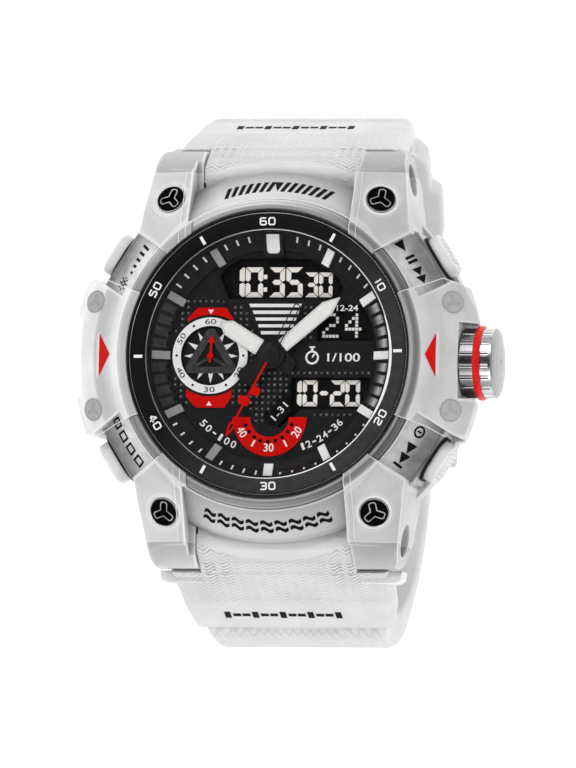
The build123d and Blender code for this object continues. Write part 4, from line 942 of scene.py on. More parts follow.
# dark surround of the 12 o'clock marker, with rounded lower corners
sur = Bag()
outer = [(-1.36, 13.08), (1.36, 13.08), (1.36, 15.98), (-1.36, 15.98)]
inner = [(-0.88, 15.99), (-0.88, 13.98), (-0.80, 13.68), (-0.60, 13.52), (-0.40, 13.48), (0.40, 13.48), (0.60, 13.52), (0.80, 13.68), (0.88, 13.98), (0.88, 15.99)]
loop = [(-1.36, 15.98), (-1.36, 13.30), (-1.10, 13.06), (1.10, 13.06), (1.36, 13.30), (1.36, 15.98)] + inner[::-1]
sur.prism([loop], -0.45, 0.05, lambda x, y, z: (x, y, 13.55 + 0.385 * (y - 13.35) + z))
sur.obj("marker_12_surround", M_FLANGE, "case", slot="dial_black")
# lit and shaded copies of the flange blocks: painted highlight at 3 o'clock, painted shade at 9 o'clock
for nm, mins, mat, r0, r1, dz in (("flange_blocks_lit", (11, 12, 13, 14, 16, 17, 18, 19), "M_BLOCKP", 14.15, 16.05, 0.10), ("flange_blocks_shaded", (41, 42, 43, 44, 46, 47, 48, 49), "M_BLOCKD", 14.35, 15.95, 0.06)):
    bl = Bag()
    for m in mins:
        rr = [r0, (r0 + r1) / 2, r1]
        top, bot = [], []
        for r in rr:
            for t in (-1, 1):
                q = radians(6 * m + t * 2.05)
                zz = flange_z(r)
                top.append((r * sin(q), r * cos(q), zz + dz))
                bot.append((r * sin(q), r * cos(q), zz - 0.05))
        bl.add(top + bot, [(0, 2, 3, 1), (2, 4, 5, 3), (7, 9, 8, 6), (9, 11, 10, 8), (0, 1, 7, 6), (5, 4, 10, 11), (1, 3, 9, 7), (3, 5, 11, 9), (2, 0, 6, 8), (4, 2, 8, 10)])
    bl.obj(nm, M_BLOCKP if mat == "M_BLOCKP" else M_BLOCKD, "case", slot="marker_paint" if mat == "M_BLOCKP" else "dial_black")

# ------------------------------------------------------------------ studded dial texture
win_time = [(-6.1, 7.5), (8.7, 7.5), (9.4, 8.9), (8.7, 10.3), (6.9, 11.6), (4.6, 12.9), (-4.6, 12.9), (-6.6, 11.7), (-7.3, 10.6)]
win_matrix = [(5.9, 1.95), (13.55, 1.95), (13.3, 3.8), (12.5, 5.9), (11.9, 6.85), (5.9, 6.85)]
win_date = [(2.6, -2.85), (13.3, -2.85), (12.9, -4.6), (11.8, -7.05), (4.1, -7.05), (1.1, -9.55), (-0.7, -7.9), (2.6, -4.9)]
trap = [(-10.4, 6.66), (-6.4, 6.66), (-5.35, 4.95), (-5.6, 4.4), (-11.2, 4.4), (-11.45, 4.95)]
stripe_zone = [(-3.75, 7.4), (4.2, 7.4), (2.9, 2.4), (-2.1, 2.4)]


def inside(p, poly, grow=0.0):
    x, y = p
    hit = False
    n = len(poly)
    for i in range(n):
        (x0, y0), (x1, y1) = poly[i], poly[(i + 1) % n]
        if (y0 > y) != (y1 > y) and x < (x1 - x0) * (y - y0) / (y1 - y0) + x0:
            hit = not hit
        if grow:
            L = hypot(x1 - x0, y1 - y0)
            t = max(0, min(1, ((x - x0) * (x1 - x0) + (y - y0) * (y1 - y0)) / (L * L)))
            if hypot(x - x0 - t * (x1 - x0), y - y0 - t * (y1 - y0)) < grow:
                return True
    return hit


studs = Bag()
pitch = 0.79
j0 = -11
for j in range(j0, 12):
    for i in range(-18, 19):
        x, y = 0.39 + i * pitch, 0.10 + j * pitch
        r = hypot(x, y)
        if r > 13.6 or r < 1.9:
            continue
        if hypot(x - SX, y) < 5.06 + 0.34:
            continue
        if y > 7.3 or y < -8.2:
            if not (-12 < y < -7.9 and abs(x) < 2.2 and hypot(x - 0.05, y + 8.05) < 2.3):
                continue
        if any(inside((x, y), w, 0.38) for w in (win_time, win_matrix, win_date)):
            continue
        if inside((x, y), trap, 0.3) or inside((x, -y), trap, 0.3) or inside((x, y), stripe_zone, 0.15):
            continue
        if -2.25 < y < 1.75 and x > 2.0:
            continue
        if y < -7.0 and x < -3.0:
            continue
        if 2.67 - 0.3 < hypot(x - 0.05, y + 8.05) < 5.25 + 0.35 and y < -7.6:
            continue
        w = 0.27
        z0, z1 = DZ - 0.02, DZ + 0.17
        vs = [(x - w, y - w, z0), (x + w, y - w, z0), (x + w, y + w, z0), (x - w, y + w, z0),
              (x - w, y - w, DZ + 0.03), (x + w, y - w, DZ + 0.03), (x + w, y + w, DZ + 0.03), (x - w, y + w, DZ + 0.03),
              (x - 0.07, y - 0.07, z1), (x + 0.07, y - 0.07, z1), (x + 0.07, y + 0.07, z1), (x - 0.07, y + 0.07, z1)]
        fs = [(3, 2, 1, 0), (0, 1, 5, 4), (1, 2, 6, 5), (2, 3, 7, 6), (3, 0, 4, 7), (4, 5, 9, 8), (5, 6, 10, 9), (6, 7, 11, 10), (7, 4, 8, 11), (8, 9, 10, 11)]
        studs.add(vs, fs)
studs.obj("dial_studs", M_STUD, "case", slot="dial_black")


# ------------------------------------------------------------------ hand overlays
def cw(p, deg):
    """Point given along a hand (x right of it, y along it) turned clockwise by deg."""
    a = radians(deg)
    return (p[0] * cos(a) + p[1] * sin(a), -p[0] * sin(a) + p[1] * cos(a))


def overlay(name, pts, deg, z0, z1, mat, body, slot):
    b = Bag()
    b.prism([[cw(p, deg) for p in pts]], z0, z1)
    return b.obj(name, mat, body, slot=slot)


HOUR_A, MIN_A, SEC_A = 302.0, 49.9, 208.2
hour_w = [(-1.13, 1.5), (1.13, 1.5), (1.10, 6.9), (0.30, 8.12), (-0.02, 8.25), (-0.34, 8.12), (-1.10, 6.9)]
hour_l = [(-0.90, 1.7), (0.90, 1.7), (0.88, 6.75), (0.0, 7.90), (-0.88, 6.75)]
min_w = [(-0.88, 1.5), (0.96, 1.5), (1.02, 9.7), (0.10, 11.85), (0.02, 11.9), (-0.06, 11.85), (-1.0, 9.7)]
min_l = [(-0.66, 1.8), (0.72, 1.8), (0.80, 9.55), (0.02, 11.5), (-0.78, 9.55)]
for nm, body, ang, white_, lume, z0, z1 in (("hour", "hour", HOUR_A, hour_w, hour_l, 13.30, 13.50), ("minute", "minute", MIN_A, min_w, min_l, 13.74, 13.92)):
    b = Bag()
    b.prism([[cw(p, ang) for p in white_]], z0, z1)
    o = b.obj(nm + "_hand_blade", M_HAND, body, slot="hand_paint")
    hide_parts(nm + "_hand")
    b = Bag()
    b.prism([[cw(p, ang) for p in lume]], z1 - 0.01, z1 + 0.035)
    b.obj(nm + "_hand_lume", M_LUME, body, slot="hand_paint")
b = Bag()
b.prism([[cw(p, HOUR_A) for p in [(-1.16, 1.95), (1.16, 1.95), (1.2, -2.9), (0.75, -3.42), (-0.75, -3.42), (-1.2, -2.9)]]], 13.29, 13.545)
b.prism([[cw(p, HOUR_A) for p in [(-0.5, -1.9), (0.5, -1.9), (0.5, -2.9), (-0.5, -2.9)]]], 13.54, 13.60)
b.obj("hour_tail_black", M_BLACKHUB, "hour", slot="dial_black")
b = Bag()
b.prism([[cw(p, MIN_A) for p in [(-0.98, 1.95), (1.0, 1.95), (1.16, -4.5), (0.7, -5.2), (-0.7, -5.2), (-1.16, -4.5)]]], 13.735, 13.965)
b.prism([[cw(p, MIN_A) for p in [(-0.62, -2.0), (0.62, -2.0), (0.72, -4.4), (-0.72, -4.4)]]], 13.96, 14.01)
b.lathe([(0.0, 14.02), (1.60, 14.02), (1.72, 13.96), (1.76, 13.90), (1.76, 13.72), (0.0, 13.72)][::-1], 64, closed=False)
b.obj("minute_tail_black", M_BLACKHUB, "minute", smooth=30, slot="dial_black")
b = Bag()
z0, z1 = 14.14, 14.27
front = [(-0.13, 1.0), (0.13, 1.0), (0.13, 6.35), (0.86, 6.45), (0.98, 7.2), (0.75, 7.5), (0.13, 7.55), (0.13, 9.95), (0.44, 10.3), (0.34, 11.3), (0.06, 12.25),
         (-0.06, 12.25), (-0.34, 11.3), (-0.44, 10.3), (-0.13, 9.95), (-0.13, 7.55), (-0.58, 7.4), (-0.62, 6.5), (-0.13, 6.35), (-0.13, 5.75), (-0.95, 5.70), (-1.28, 5.2), (-1.0, 4.6), (-0.13, 4.5)]
hole = [(-0.20, 10.4), (0.20, 10.4), (0.13, 11.2), (0.0, 11.6), (-0.13, 11.2)]
b.prism([[cw(p, SEC_A) for p in front], [cw(p, SEC_A) for p in hole][::-1]], z0, z1)
o = b.obj("second_hand_front", M_RED, "seconds", slot="signal_red")
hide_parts("second_hand")
b = Bag()
tail_o = [(-0.44, -0.8), (0.44, -0.8), (0.44, -7.35), (0.30, -7.6), (-0.30, -7.6), (-0.44, -7.35)]
tail_i = [(-0.32, -0.9), (0.32, -0.9), (0.32, -7.3), (0.24, -7.46), (-0.24, -7.46), (-0.32, -7.3)]
b.prism([[cw(p, SEC_A) for p in tail_o], [cw(p, SEC_A) for p in tail_i][::-1]], z0, z1)
b.lathe([(0.0, 14.40), (0.42, 14.40), (0.48, 14.36), (0.50, 14.30), (1.06, 14.30), (1.14, 14.26), (1.16, 14.20), (1.16, 14.12), (0.0, 14.12)][::-1], 48, closed=False)
b.obj("second_hand_tail", M_BLACKHUB, "seconds", smooth=30, slot="dial_black")


# ------------------------------------------------------------------ corner screws: bright rim and slot outline, and a pale painted halo round each head in its recess
def star(w, L, turn):
    pts = []
    for k in range(3):
        a = 90 + 120 * k + turn
        d, n = (cos(radians(a)), sin(radians(a))), (-sin(radians(a)), cos(radians(a)))
        q = a - 60
        pts.append((w * 2 / sqrt(3) * cos(radians(q)), w * 2 / sqrt(3) * sin(radians(q))))
        e = w * 0.45
        pts += [((L - e) * d[0] - w * n[0], (L - e) * d[1] - w * n[1]), (L * d[0] - (w - e) * n[0], L * d[1] - (w - e) * n[1]),
                (L * d[0] + (w - e) * n[0], L * d[1] + (w - e) * n[1]), ((L - e) * d[0] + w * n[0], (L - e) * d[1] + w * n[1])]
    return pts


TURNS = {(1, 1): -10, (-1, 1): -14, (1, -1): 14, (-1, -1): -12}
rims = Bag()
dark = Bag()
seat_halos = Bag()
for sx in (1, -1):
    for sy in (1, -1):
        n = Vector((0.25 * sx, 0.45 * sy, 1.0)).normalized()
        ex = Vector((1, 0, -n.x / n.z)).normalized()
        ey = n.cross(ex)
        o = Vector((14.15 * sx, 20.7 * sy, 13.0))
        pl = lambda x, y, z, o=o, ex=ex, ey=ey, n=n: tuple(o + ex * x + ey * y + n * z)
        dark.lathe([(1.55, 0.02), (1.55, 0.172), (1.60, 0.178), (1.85, 0.178), (1.85, 0.02)][::-1], 64, place=pl)
        rims.lathe([(1.85, 0.05), (1.85, 0.17), (1.88, 0.20), (1.94, 0.20), (1.97, 0.15), (1.97, 0.05)][::-1], 64, place=pl)
        # pale ring round each head: painted halo covering the shade in the recess
        seat_halos.lathe([(1.99, -0.32), (1.99, -0.03), (2.03, 0.0), (2.34, 0.0), (2.385, -0.05), (2.385, -0.32)][::-1], 64, place=pl)
        t = TURNS[(sx, sy)]
        rims.prism([star(0.50, 1.50, t), star(0.375, 1.37, t)], 0.06, 0.185, pl)
rims.obj("screw_rims", M_RIM, "case", smooth=35, slot="steel")
seat_halos.obj("screw_seat_halos", M_SEAT_HALO, "case", smooth=35, slot="frosted_resin")
dark.obj("screw_black_bands", M_SCREW, "case", smooth=35, slot="screw_black")

# dark discs at the bottom of the round recesses beside the spring bars: a painted shadow in the recesses
recess_shadow = Bag()
for sx in (1, -1):
    for sy in (1, -1):
        def side(x, y, z, sx=sx, sy=sy):
            return (sx * (14.9 + z), sy * 23.9 + (x if sx > 0 else -x), 6.8 + y)
        recess_shadow.lathe([(0.52, 0.0), (0.52, 0.35), (0.62, 0.45), (1.95, 0.45), (2.12, 0.30), (2.12, 0.0)][::-1], 48, place=side)
recess_shadow.obj("bar_recess_shadows", M_RUBBER, "case", smooth=35, slot="seal_rubber")

# moulded screw heads on the guards
mould = Bag()
mlines = Bag()
for sx in (1, -1):
    for sy in (1, -1):
        px, py = 24.1 * sx, 7.16 * sy
        rr = hypot(px, py)
        rad = Vector((px / rr, py / rr, 0))
        n = (rad * 0.4871 + Vector((0, 0, 1)) * 0.8733).normalized()
        ex = Vector((1, 0, -n.x / n.z)).normalized()
        ey = n.cross(ex)
        o = Vector((px, py, 13.75 - (rr - 23.4) * 0.5577))
        pl = lambda x, y, z, o=o, ex=ex, ey=ey, n=n: tuple(o + ex * x + ey * y + n * z)
        mould.lathe([(0.0, 0.03), (1.28, 0.03), (1.34, 0.0), (1.40, 0.07), (1.47, 0.06), (1.50, -0.06), (0.0, -0.06)][::-1], 48, place=pl, closed=False)
        mlines.prism([star(0.20, 0.98, 8 * sx), star(0.11, 0.88, 8 * sx)], 0.0, 0.06, pl)
        mlines.lathe([(1.40, -0.02), (1.40, 0.075), (1.47, 0.075), (1.50, 0.03), (1.50, -0.02)][::-1], 48, place=pl)
mould.obj("moulded_screws", M_MOULD, "case", smooth=35, slot="frosted_resin")
mlines.obj("moulded_screw_lines", M_MLINE, "case", smooth=35, slot="frosted_resin")

# ------------------------------------------------------------------ symbols on the label slopes
SL_IN, SL_OUT = (20.6, 15.15), (24.4, 11.1)


def on_slope(theta_deg, r0, flip):
    """Local x runs along the slope, local y up it or down it, laid on the cone at theta (clockwise from 12)."""
    ls = hypot(SL_OUT[0] - SL_IN[0], SL_OUT[1] - SL_IN[1])
    dr, dz = (SL_OUT[0] - SL_IN[0]) / ls, (SL_OUT[1] - SL_IN[1]) / ls
    nr, nz = -dz, dr

    def f(x, y, h):
        s = y if not flip else -y
        r = r0 + dr * s
        z = SL_IN[1] + (r0 - SL_IN[0]) / dr * dz + dz * s
        a = radians(theta_deg) + (x if not flip else -x) / r0
        r, z = r + nr * h, z + nz * h
        return (r * sin(a), r * cos(a), z)
    return f


def fine(loop, step=0.5):
    out = []
    n = len(loop)
    for i in range(n):
        a, b = loop[i], loop[(i + 1) % n]
        k = max(1, int(hypot(b[0] - a[0], b[1] - a[1]) / step))
        for j in range(k):
            out.append((a[0] + (b[0] - a[0]) * j / k, a[1] + (b[1] - a[1]) * j / k))
    return out


ink = Bag()
H0, H1 = -0.02, 0.04


GROW = 1.0


def mark(loops, place):
    loops = [[(x * GROW, y * GROW) for x, y in lp] for lp in loops]
    ink.prism([fine(lp) for lp in loops], H0, H1, place)


def bars(place, xs, w, h, skew=0.0):
    for x in xs:
        mark([[(x - w / 2 - skew, -h / 2), (x + w / 2 - skew, -h / 2), (x + w / 2 + skew, h / 2), (x - w / 2 + skew, h / 2)]], place)


def ringmark(place, cx, cy, ro, ri, n=20):
    mark([disc(ro, n, cx, cy), disc(ri, n, cx, cy)], place)


# 10 o'clock: light symbol between growing bars
GROW = 1.0
pl = on_slope(-58.2, 22.45, False)
ringmark(pl, -2.6, 0, 0.46, 0.24)
for k in range(8):
    a = 45 * k
    p = [rot2(q, a) for q in ((-0.09, 0.62), (0.09, 0.62), (0.09, 0.98), (-0.09, 0.98))]
    mark([[(q[0] - 2.6, q[1]) for q in p]], pl)
for i, h in enumerate((0.5, 0.8, 1.1, 1.4, 1.7)):
    mark([[(-1.0 + i * 0.95, -0.85), (-0.62 + i * 0.95, -0.85), (-0.62 + i * 0.95, -0.85 + h), (-1.0 + i * 0.95, -0.85 + h)]], pl)
# 2 o'clock: run and pause symbols
pl = on_slope(56.2, 22.45, False)
mark([[(-3.3, -0.85), (-1.7, 0.0), (-3.3, 0.85)]], pl)
bars(pl, (-0.7, 0.0), 0.4, 1.6)
mark([[(1.0, -0.85), (2.1, 0.0), (1.0, 0.85)]], pl)
mark([[(2.2, -0.85), (3.3, 0.0), (2.2, 0.85)]], pl)
# 8 o'clock: four-field selector symbol
pl = on_slope(239.2, 22.55, True)
for i in range(4):
    x = -2.9 + i * 1.95
    mark([box2(x - 0.72, x + 0.72, -0.78, 0.78), box2(x - 0.44, x + 0.44, -0.5, 0.5)[::-1]], pl)
bars(pl, (-2.9,), 0.34, 0.5)
# 4 o'clock: return symbols
pl = on_slope(122.0, 22.45, True)
bars(pl, (-3.1,), 0.36, 1.6)
mark([[(-1.3, -0.85), (-1.3, 0.85), (-2.8, 0.0)]], pl)
mark([[(0.3, -0.85), (0.3, 0.85), (-1.2, 0.0)]], pl)
ringmark(pl, 2.1, 0, 0.85, 0.58, 28)
bars(pl, (2.1,), 0.26, 0.7)
# 12 o'clock: hatched index bar with a centre pointer
GROW = 1.0
pl = on_slope(0.9, 22.35, False)
for i in range(-7, 8):
    if abs(i) < 1:
        continue
    h = 2.0
    mark([[(i * 0.98 - 0.27 - 0.30, -h / 2), (i * 0.98 + 0.27 - 0.30, -h / 2), (i * 0.98 + 0.27 + 0.30, h / 2), (i * 0.98 - 0.27 + 0.30, h / 2)]], pl)
mark([[(-0.55, 0.95), (0.0, -0.95), (0.55, 0.95)]], pl)
# 6 o'clock: wave strokes
pl = on_slope(180.6, 22.7, True)
for k in range(-4, 5):
    cx = k * 1.98
    for off in (0.78, -0.34):
        top = [(cx - 0.84 + 1.68 * i / 14, off + 0.21 + 0.26 * sin(2 * pi * i / 14)) for i in range(15)]
        bot = [(x, y - 0.60) for x, y in top]
        mark([bot + top[::-1]], pl)
ink.obj("label_symbols", M_INK, "case", slot="dial_black")


# ------------------------------------------------------------------ painted pale highlights along the edges of the frosted frame
F_PROF = [(18.8, 16.12), (19.1, 16.3), (19.62, 16.42), (20.2, 16.28), (20.62, 15.8), (22.9, 14.1), (23.4, 13.75), (26.0, 12.3), (27.5, 10.2)]
L_PROF = [(18.8, 16.12), (19.1, 16.3), (19.62, 16.42), (20.2, 16.28), (20.62, 15.8), (22.0, 15.0), (24.2, 13.6), (26.0, 13.0), (30.6, 10.4)]


def tube(bag, pts, rad, n=6):
    vs, fs = [], []
    m = len(pts)
    for i in range(m):
        a, b = Vector(pts[max(i - 1, 0)]), Vector(pts[min(i + 1, m - 1)])
        t = (b - a).normalized()
        u = t.cross(Vector((0, 0, 1))).normalized()
        v = u.cross(t)
        for k in range(n):
            q = 2 * pi * k / n
            p = Vector(pts[i]) + u * (rad * cos(q)) + v * (rad * sin(q))
            vs.append(tuple(p))
    for i in range(m - 1):
        for k in range(n):
            j = (k + 1) % n
            fs.append((i * n + k, i * n + j, (i + 1) * n + j, (i + 1) * n + k))
    fs.append(tuple(range(n))[::-1])
    fs.append(tuple((m - 1) * n + k for k in range(n)))
    bag.add(vs, fs)


def edge_path(plan, prof, rmin=18.95):
    out = []
    for (x0, y0), (x1, y1) in zip(plan[:-1], plan[1:]):
        k = max(1, int(hypot(x1 - x0, y1 - y0) / 0.25))
        for i in range(k + 1):
            x, y = x0 + (x1 - x0) * i / k, y0 + (y1 - y0) * i / k
            r = hypot(x, y)
            if r < rmin:
                continue
            z = float(np.interp(r, [q[0] for q in prof], [q[1] for q in prof]))
            if abs(y) > 24.6:
                z = min(z, 10.9 + (24.98 - abs(y)) * 1.12 + 0.2)
            if out and hypot(out[-1][0] - x, out[-1][1] - y) < 0.05:
                continue
            out.append((x, y, z - 0.015))
    return out


edge_highlights = Bag()
for sx in (1, -1):
    for sy in (1, -1):
        xi = 10.62 if sx > 0 else 11.42
        tube(edge_highlights, edge_path([(xi * sx, 14.0 * sy), (xi * sx, 24.9 * sy)], L_PROF), 0.06)
        tube(edge_highlights, edge_path([((xi + 0.9) * sx, 13.5 * sy), ((xi + 0.9) * sx, 24.9 * sy)], L_PROF), 0.045)
        tube(edge_highlights, edge_path([(14.2 * sx, 13.6 * sy), (18.3 * sx, 16.2 * sy), (17.9 * sx, 18.5 * sy), (17.0 * sx, 24.4 * sy), (16.6 * sx, 26.9 * sy)], L_PROF), 0.05)
tube(edge_highlights, edge_path([(16, -7.6), (20.9, -9.3), (23.4, -10.6)], F_PROF), 0.055)
tube(edge_highlights, edge_path([(16, 7.4), (19, 8.7), (22.7, 10.3), (25.1, 9.6)], F_PROF), 0.055)
tube(edge_highlights, edge_path([(-16, -7.5), (-20.9, -9.3), (-23.2, -10.5), (-26.2, -10)], F_PROF), 0.055)
tube(edge_highlights, edge_path([(-16, 7.4), (-20.6, 9.2), (-23.2, 10.3), (-26.2, 9.9)], F_PROF), 0.055)
edge_highlights.obj("frame_edge_highlight_tubes", M_FRAME_HIGHLIGHT, "case", smooth=60, slot="frosted_resin")


# ------------------------------------------------------------------ straps
def smooth(pts, n):
    out = []
    m = len(pts)
    for i in range(m - 1):
        a, b, c, d = pts[max(i - 1, 0)], pts[i], pts[i + 1], pts[min(i + 2, m - 1)]
        for k in range(n):
            t = k / n
            out.append(tuple(0.5 * (2 * b[q] + (c[q] - a[q]) * t + (2 * a[q] - 5 * b[q] + 4 * c[q] - d[q]) * t * t + (3 * b[q] - a[q] - 3 * c[q] + d[q]) * t ** 3) for q in (0, 1)))
    out.append(tuple(pts[-1]))
    return out


OUT_12 = [(26.2, 8.75), (27.8, 6.4), (29.5, 3.4), (31.0, 0.0), (33.1, -6.0), (33.6, -12.0), (31.8, -19.0), (28.4, -25.3), (23.6, -30.4), (17.6, -33.9), (11.0, -34.9), (4.0, -34.95)]
TH_12 = [3.0, 3.6, 3.9, 4.0, 3.8, 3.4, 3.0, 2.7, 2.5, 2.4, 2.4, 2.4]
OUT_6 = [(-26.2, 8.75), (-28.0, 6.2), (-29.9, 3.0), (-31.6, 0.0), (-34.2, -6.0), (-35.3, -12.0), (-33.8, -19.0), (-30.4, -25.2), (-25.2, -30.6), (-18.6, -34.6), (-12.0, -36.4), (-6.0, -37.3), (0.0, -37.85), (8.0, -37.9), (16.5, -37.75), (22.0, -35.9), (26.3, -32.6)]
TH_6 = [3.0, 3.6, 3.9, 4.0, 3.8, 3.4, 3.0, 2.6, 2.4, 2.3, 2.3, 2.3, 2.3, 2.3, 2.2, 2.1, 2.0]
W12 = [(12.0, 14.7), (4.5, 14.7), (2.0, 14.4), (-0.5, 14.2), (-5.2, 13.9), (-6.6, 13.5), (-12.0, 13.0), (-15.5, 12.5), (-17.7, 12.25), (-18.7, 13.1), (-20.0, 13.5), (-22.0, 13.4), (-24.5, 13.05), (-25.9, 13.0), (-26.7, 14.15), (-29.0, 13.95), (-31.4, 13.6), (-32.6, 13.1), (-33.6, 12.0), (-34.3, 11.4), (-45.0, 11.4)]
W6 = [(12.0, 14.7), (4.5, 14.7), (2.0, 14.4), (-0.5, 14.1), (-5.2, 13.55), (-6.6, 12.0), (-12.0, 11.7), (-18.0, 11.6), (-24.0, 11.55), (-29.5, 11.5), (-45.0, 11.4)]


def width_of(table):
    return lambda z: float(np.interp(-z, [-q[0] for q in table], [q[1] for q in table]))


class Path:
    def __init__(self, outer, thick):
        flip = outer[0][0] < 0
        s = -1.0 if flip else 1.0
        inner = []
        for i in range(len(outer)):
            a, b = outer[max(i - 1, 0)], outer[min(i + 1, len(outer) - 1)]
            ty, tz = b[0] - a[0], b[1] - a[1]
            L = hypot(ty, tz)
            inner.append((outer[i][0] + s * thick[i] * tz / L, outer[i][1] - s * thick[i] * ty / L))
        lead_o = [(s * 23.3, 9.53), (s * 24.4, 9.56), (s * 25.35, 9.42)]
        lead_i = [(s * 23.3, 7.9), (s * 23.8, 7.4), (s * 24.2, 7.2)]
        o = np.array(lead_o + smooth(outer, 12))
        i = np.array(lead_i + smooth(inner, 12))
        d = np.concatenate([[0], np.cumsum(np.hypot(*np.diff(o, axis=0).T))])
        self.o, self.i, self.d, self.L, self.s = o, i, d, d[-1], s

    def outer(self, s):
        s = np.clip(s, 0, self.L)
        return np.interp(s, self.d, self.o[:, 0]), np.interp(s, self.d, self.o[:, 1])

    def inner(self, s):
        s = np.clip(s, 0, self.L)
        return np.interp(s, self.d, self.i[:, 0]), np.interp(s, self.d, self.i[:, 1])


P12, P6 = Path(OUT_12, TH_12), Path(OUT_6, TH_6)
HP = 0.80
ZIG = 0.30
PITCH = 0.62


FOLDS = [0.0]
while FOLDS[-1] < 13.0:
    FOLDS.append(FOLDS[-1] + (0.66 if FOLDS[-1] < 5.6 else 1.05))
FOLDS[-1] = 13.1
FX = [-v for v in FOLDS[:0:-1]] + FOLDS
FZ = [(0.5 if i % 2 else -0.5) * (0.46 if FOLDS[i] < 6.2 else 0.80) for i in range(len(FOLDS))]
FZ = FZ[:0:-1] + FZ


def zig(x):
    return float(np.interp(x, FX, FZ))


def smoothstep(a, b, v):
    t = np.clip((v - a) / (b - a), 0, 1)
    return t * t * (3 - 2 * t)


def strap_mesh(path, s_from, s_to, half, arc_r, kind, tip=None, lift=(0.0, 0.0)):
    """A closed strip along the path with the relief on its outer side. half is a number, or a function of height."""
    lim = 9.7 if kind == "neck" else 13.1
    base = []
    for fa, fb in zip(FX[:-1], FX[1:]):
        base += [(fa, True), (fa + (fb - fa) / 3, False), (fa + (fb - fa) * 2 / 3, False)]
    cols = [(u, f) for u, f in base if abs(u) < lim - 0.05]
    us = [-lim] + [u for u, f in cols] + [lim]
    fold = [False] + [f for u, f in cols] + [False]
    phases = [(0.0, -1.0), (0.20, 0.1), (0.5, 0.5), (0.80, 0.1)]
    rows = [(s_from, 0.0)]
    k = int(s_from / PITCH) - 1
    while True:
        done = False
        for p, h in phases:
            v = (k + p) * PITCH
            if v > s_to - 0.03:
                done = True
                break
            if v > s_from + 0.03:
                rows.append((v, h))
        if done:
            break
        k += 1
    rows.append((s_to, 0.0))
    verts, ring, rel = [], None, []
    hinge = (path.s * 23.9, 6.3)
    for ri, (s, h) in enumerate(rows):
        fade0 = min(1.0, (s - s_from) / (0.5 if kind == "neck" else 0.15))
        fade1 = min(1.0, (s_to - s) / 0.5)
        endfade = max(0.0, min(fade0, fade1))
        oy0, oz0 = path.outer(s)
        w = half(float(oz0)) if callable(half) else half
        if tip and oy0 > tip[0] and oz0 < -20:
            w = min(w, sqrt(max(0.0, tip[1] ** 2 - (oy0 - tip[0]) ** 2)) + 0.01)
        re = 0.25 if kind == "neck" else min(0.85, w * 0.3)
        line = []
        inn = w - re
        for k_, u in enumerate(us):
            x = u / lim * inn
            ss = s - zig(u) * min(endfade, min(1.0, (s - s_from) / 0.6)) * (inn / lim)
            ss = min(max(ss, s_from), s_to)
            oy, oz = path.outer(ss)
            iy, iz = path.inner(ss)
            T = hypot(iy - oy, iz - oz)
            ny, nz = (oy - iy) / T, (oz - iz) / T
            rr = hypot(x, oy)
            in_arc = float(smoothstep(arc_r - 0.15, arc_r + 0.15, rr)) if oz > 0 else 1.0
            band = float(smoothstep(1.0, 0.0, oz) * smoothstep(-6.1, -5.3, oz))
            low = float(smoothstep(-6.0, -6.8, oz) * smoothstep(-27.0, -18.0, oz))
            near = float(np.exp(-(((abs(x) - 9.0) / 2.4) ** 2) - ((oz - 6.9) / 2.3) ** 2)) if oz > 0 else 0.0
            amp = (0.055 + 0.15 * near) * in_arc * (1 - band) * endfade
            hh = h
            if fold[k_] and h >= 0:
                hh = h - 0.25
            d = amp * hh + 0.10 * (1 - in_arc) * endfade * (1 if oz > 0 else 0) + lift[0] * band + lift[1] * low
            if kind == "neck" and ss > s_to - 0.42:
                d -= 0.2 * (ss - s_to + 0.42) / 0.42
            line.append((x, oy + ny * d, oz + nz * d))
            # relief value for the painted groove shade and ridge highlight, strongest near the lug corners
            rel.append(0.5 + 0.5 * hh * in_arc * (1 - band) * endfade * (0.22 + 0.78 * near))
        oy, oz = path.outer(s)
        iy, iz = path.inner(s)
        low = float(smoothstep(-6.0, -6.8, oz) * smoothstep(-27.0, -18.0, oz))
        band = float(smoothstep(1.0, 0.0, oz) * smoothstep(-6.1, -5.3, oz))
        if w > 10.6:
            dh = hypot(iy - hinge[0], iz - hinge[1])
            if dh < 4.22:
                iy, iz = hinge[0] + (iy - hinge[0]) * 4.22 / dh, hinge[1] + (iz - hinge[1]) * 4.22 / dh
        T0 = hypot(iy - oy, iz - oz)
        ny, nz = (oy - iy) / T0, (oz - iz) / T0
        lf = lift[0] * band + lift[1] * low
        oy, oz = oy + ny * lf, oz + nz * lf
        T = T0 + lf
        rr_ = min(re, T * 0.4)
        right = []
        for q in (30, 60, 90):
            right.append((inn + re * sin(radians(q)), rr_ * (1 - cos(radians(q)))))
        ri_ = min(0.45, T * 0.3)
        for q in (0, 45, 90):
            right.append((w - ri_ + ri_ * cos(radians(q)), T - ri_ + ri_ * sin(radians(q))))
        for (x, t) in right:
            line.append((x, oy - ny * t, oz - nz * t))
        for k_ in range(1, 10):
            x = (w - ri_) * (1 - 2 * k_ / 10)
            line.append((x, oy - ny * T, oz - nz * T))
        for (x, t) in reversed(right):
            line.append((-x, oy - ny * t, oz - nz * t))
        rel += [0.5] * (len(line) - len(us))
        if ring is None:
            ring = len(line)
        verts += line
    faces = []
    nr = len(rows)
    for a in range(nr - 1):
        for k_ in range(ring):
            b = (k_ + 1) % ring
            f = (a * ring + k_, a * ring + b, (a + 1) * ring + b, (a + 1) * ring + k_)
            faces.append(f if path.s > 0 else f[::-1])
    for a, rev in ((0, False), (nr - 1, True)):
        loop = [a * ring + k_ for k_ in range(ring)]
        faces.append(tuple(loop if rev == (path.s > 0) else loop[::-1]))
    return verts, faces, rel


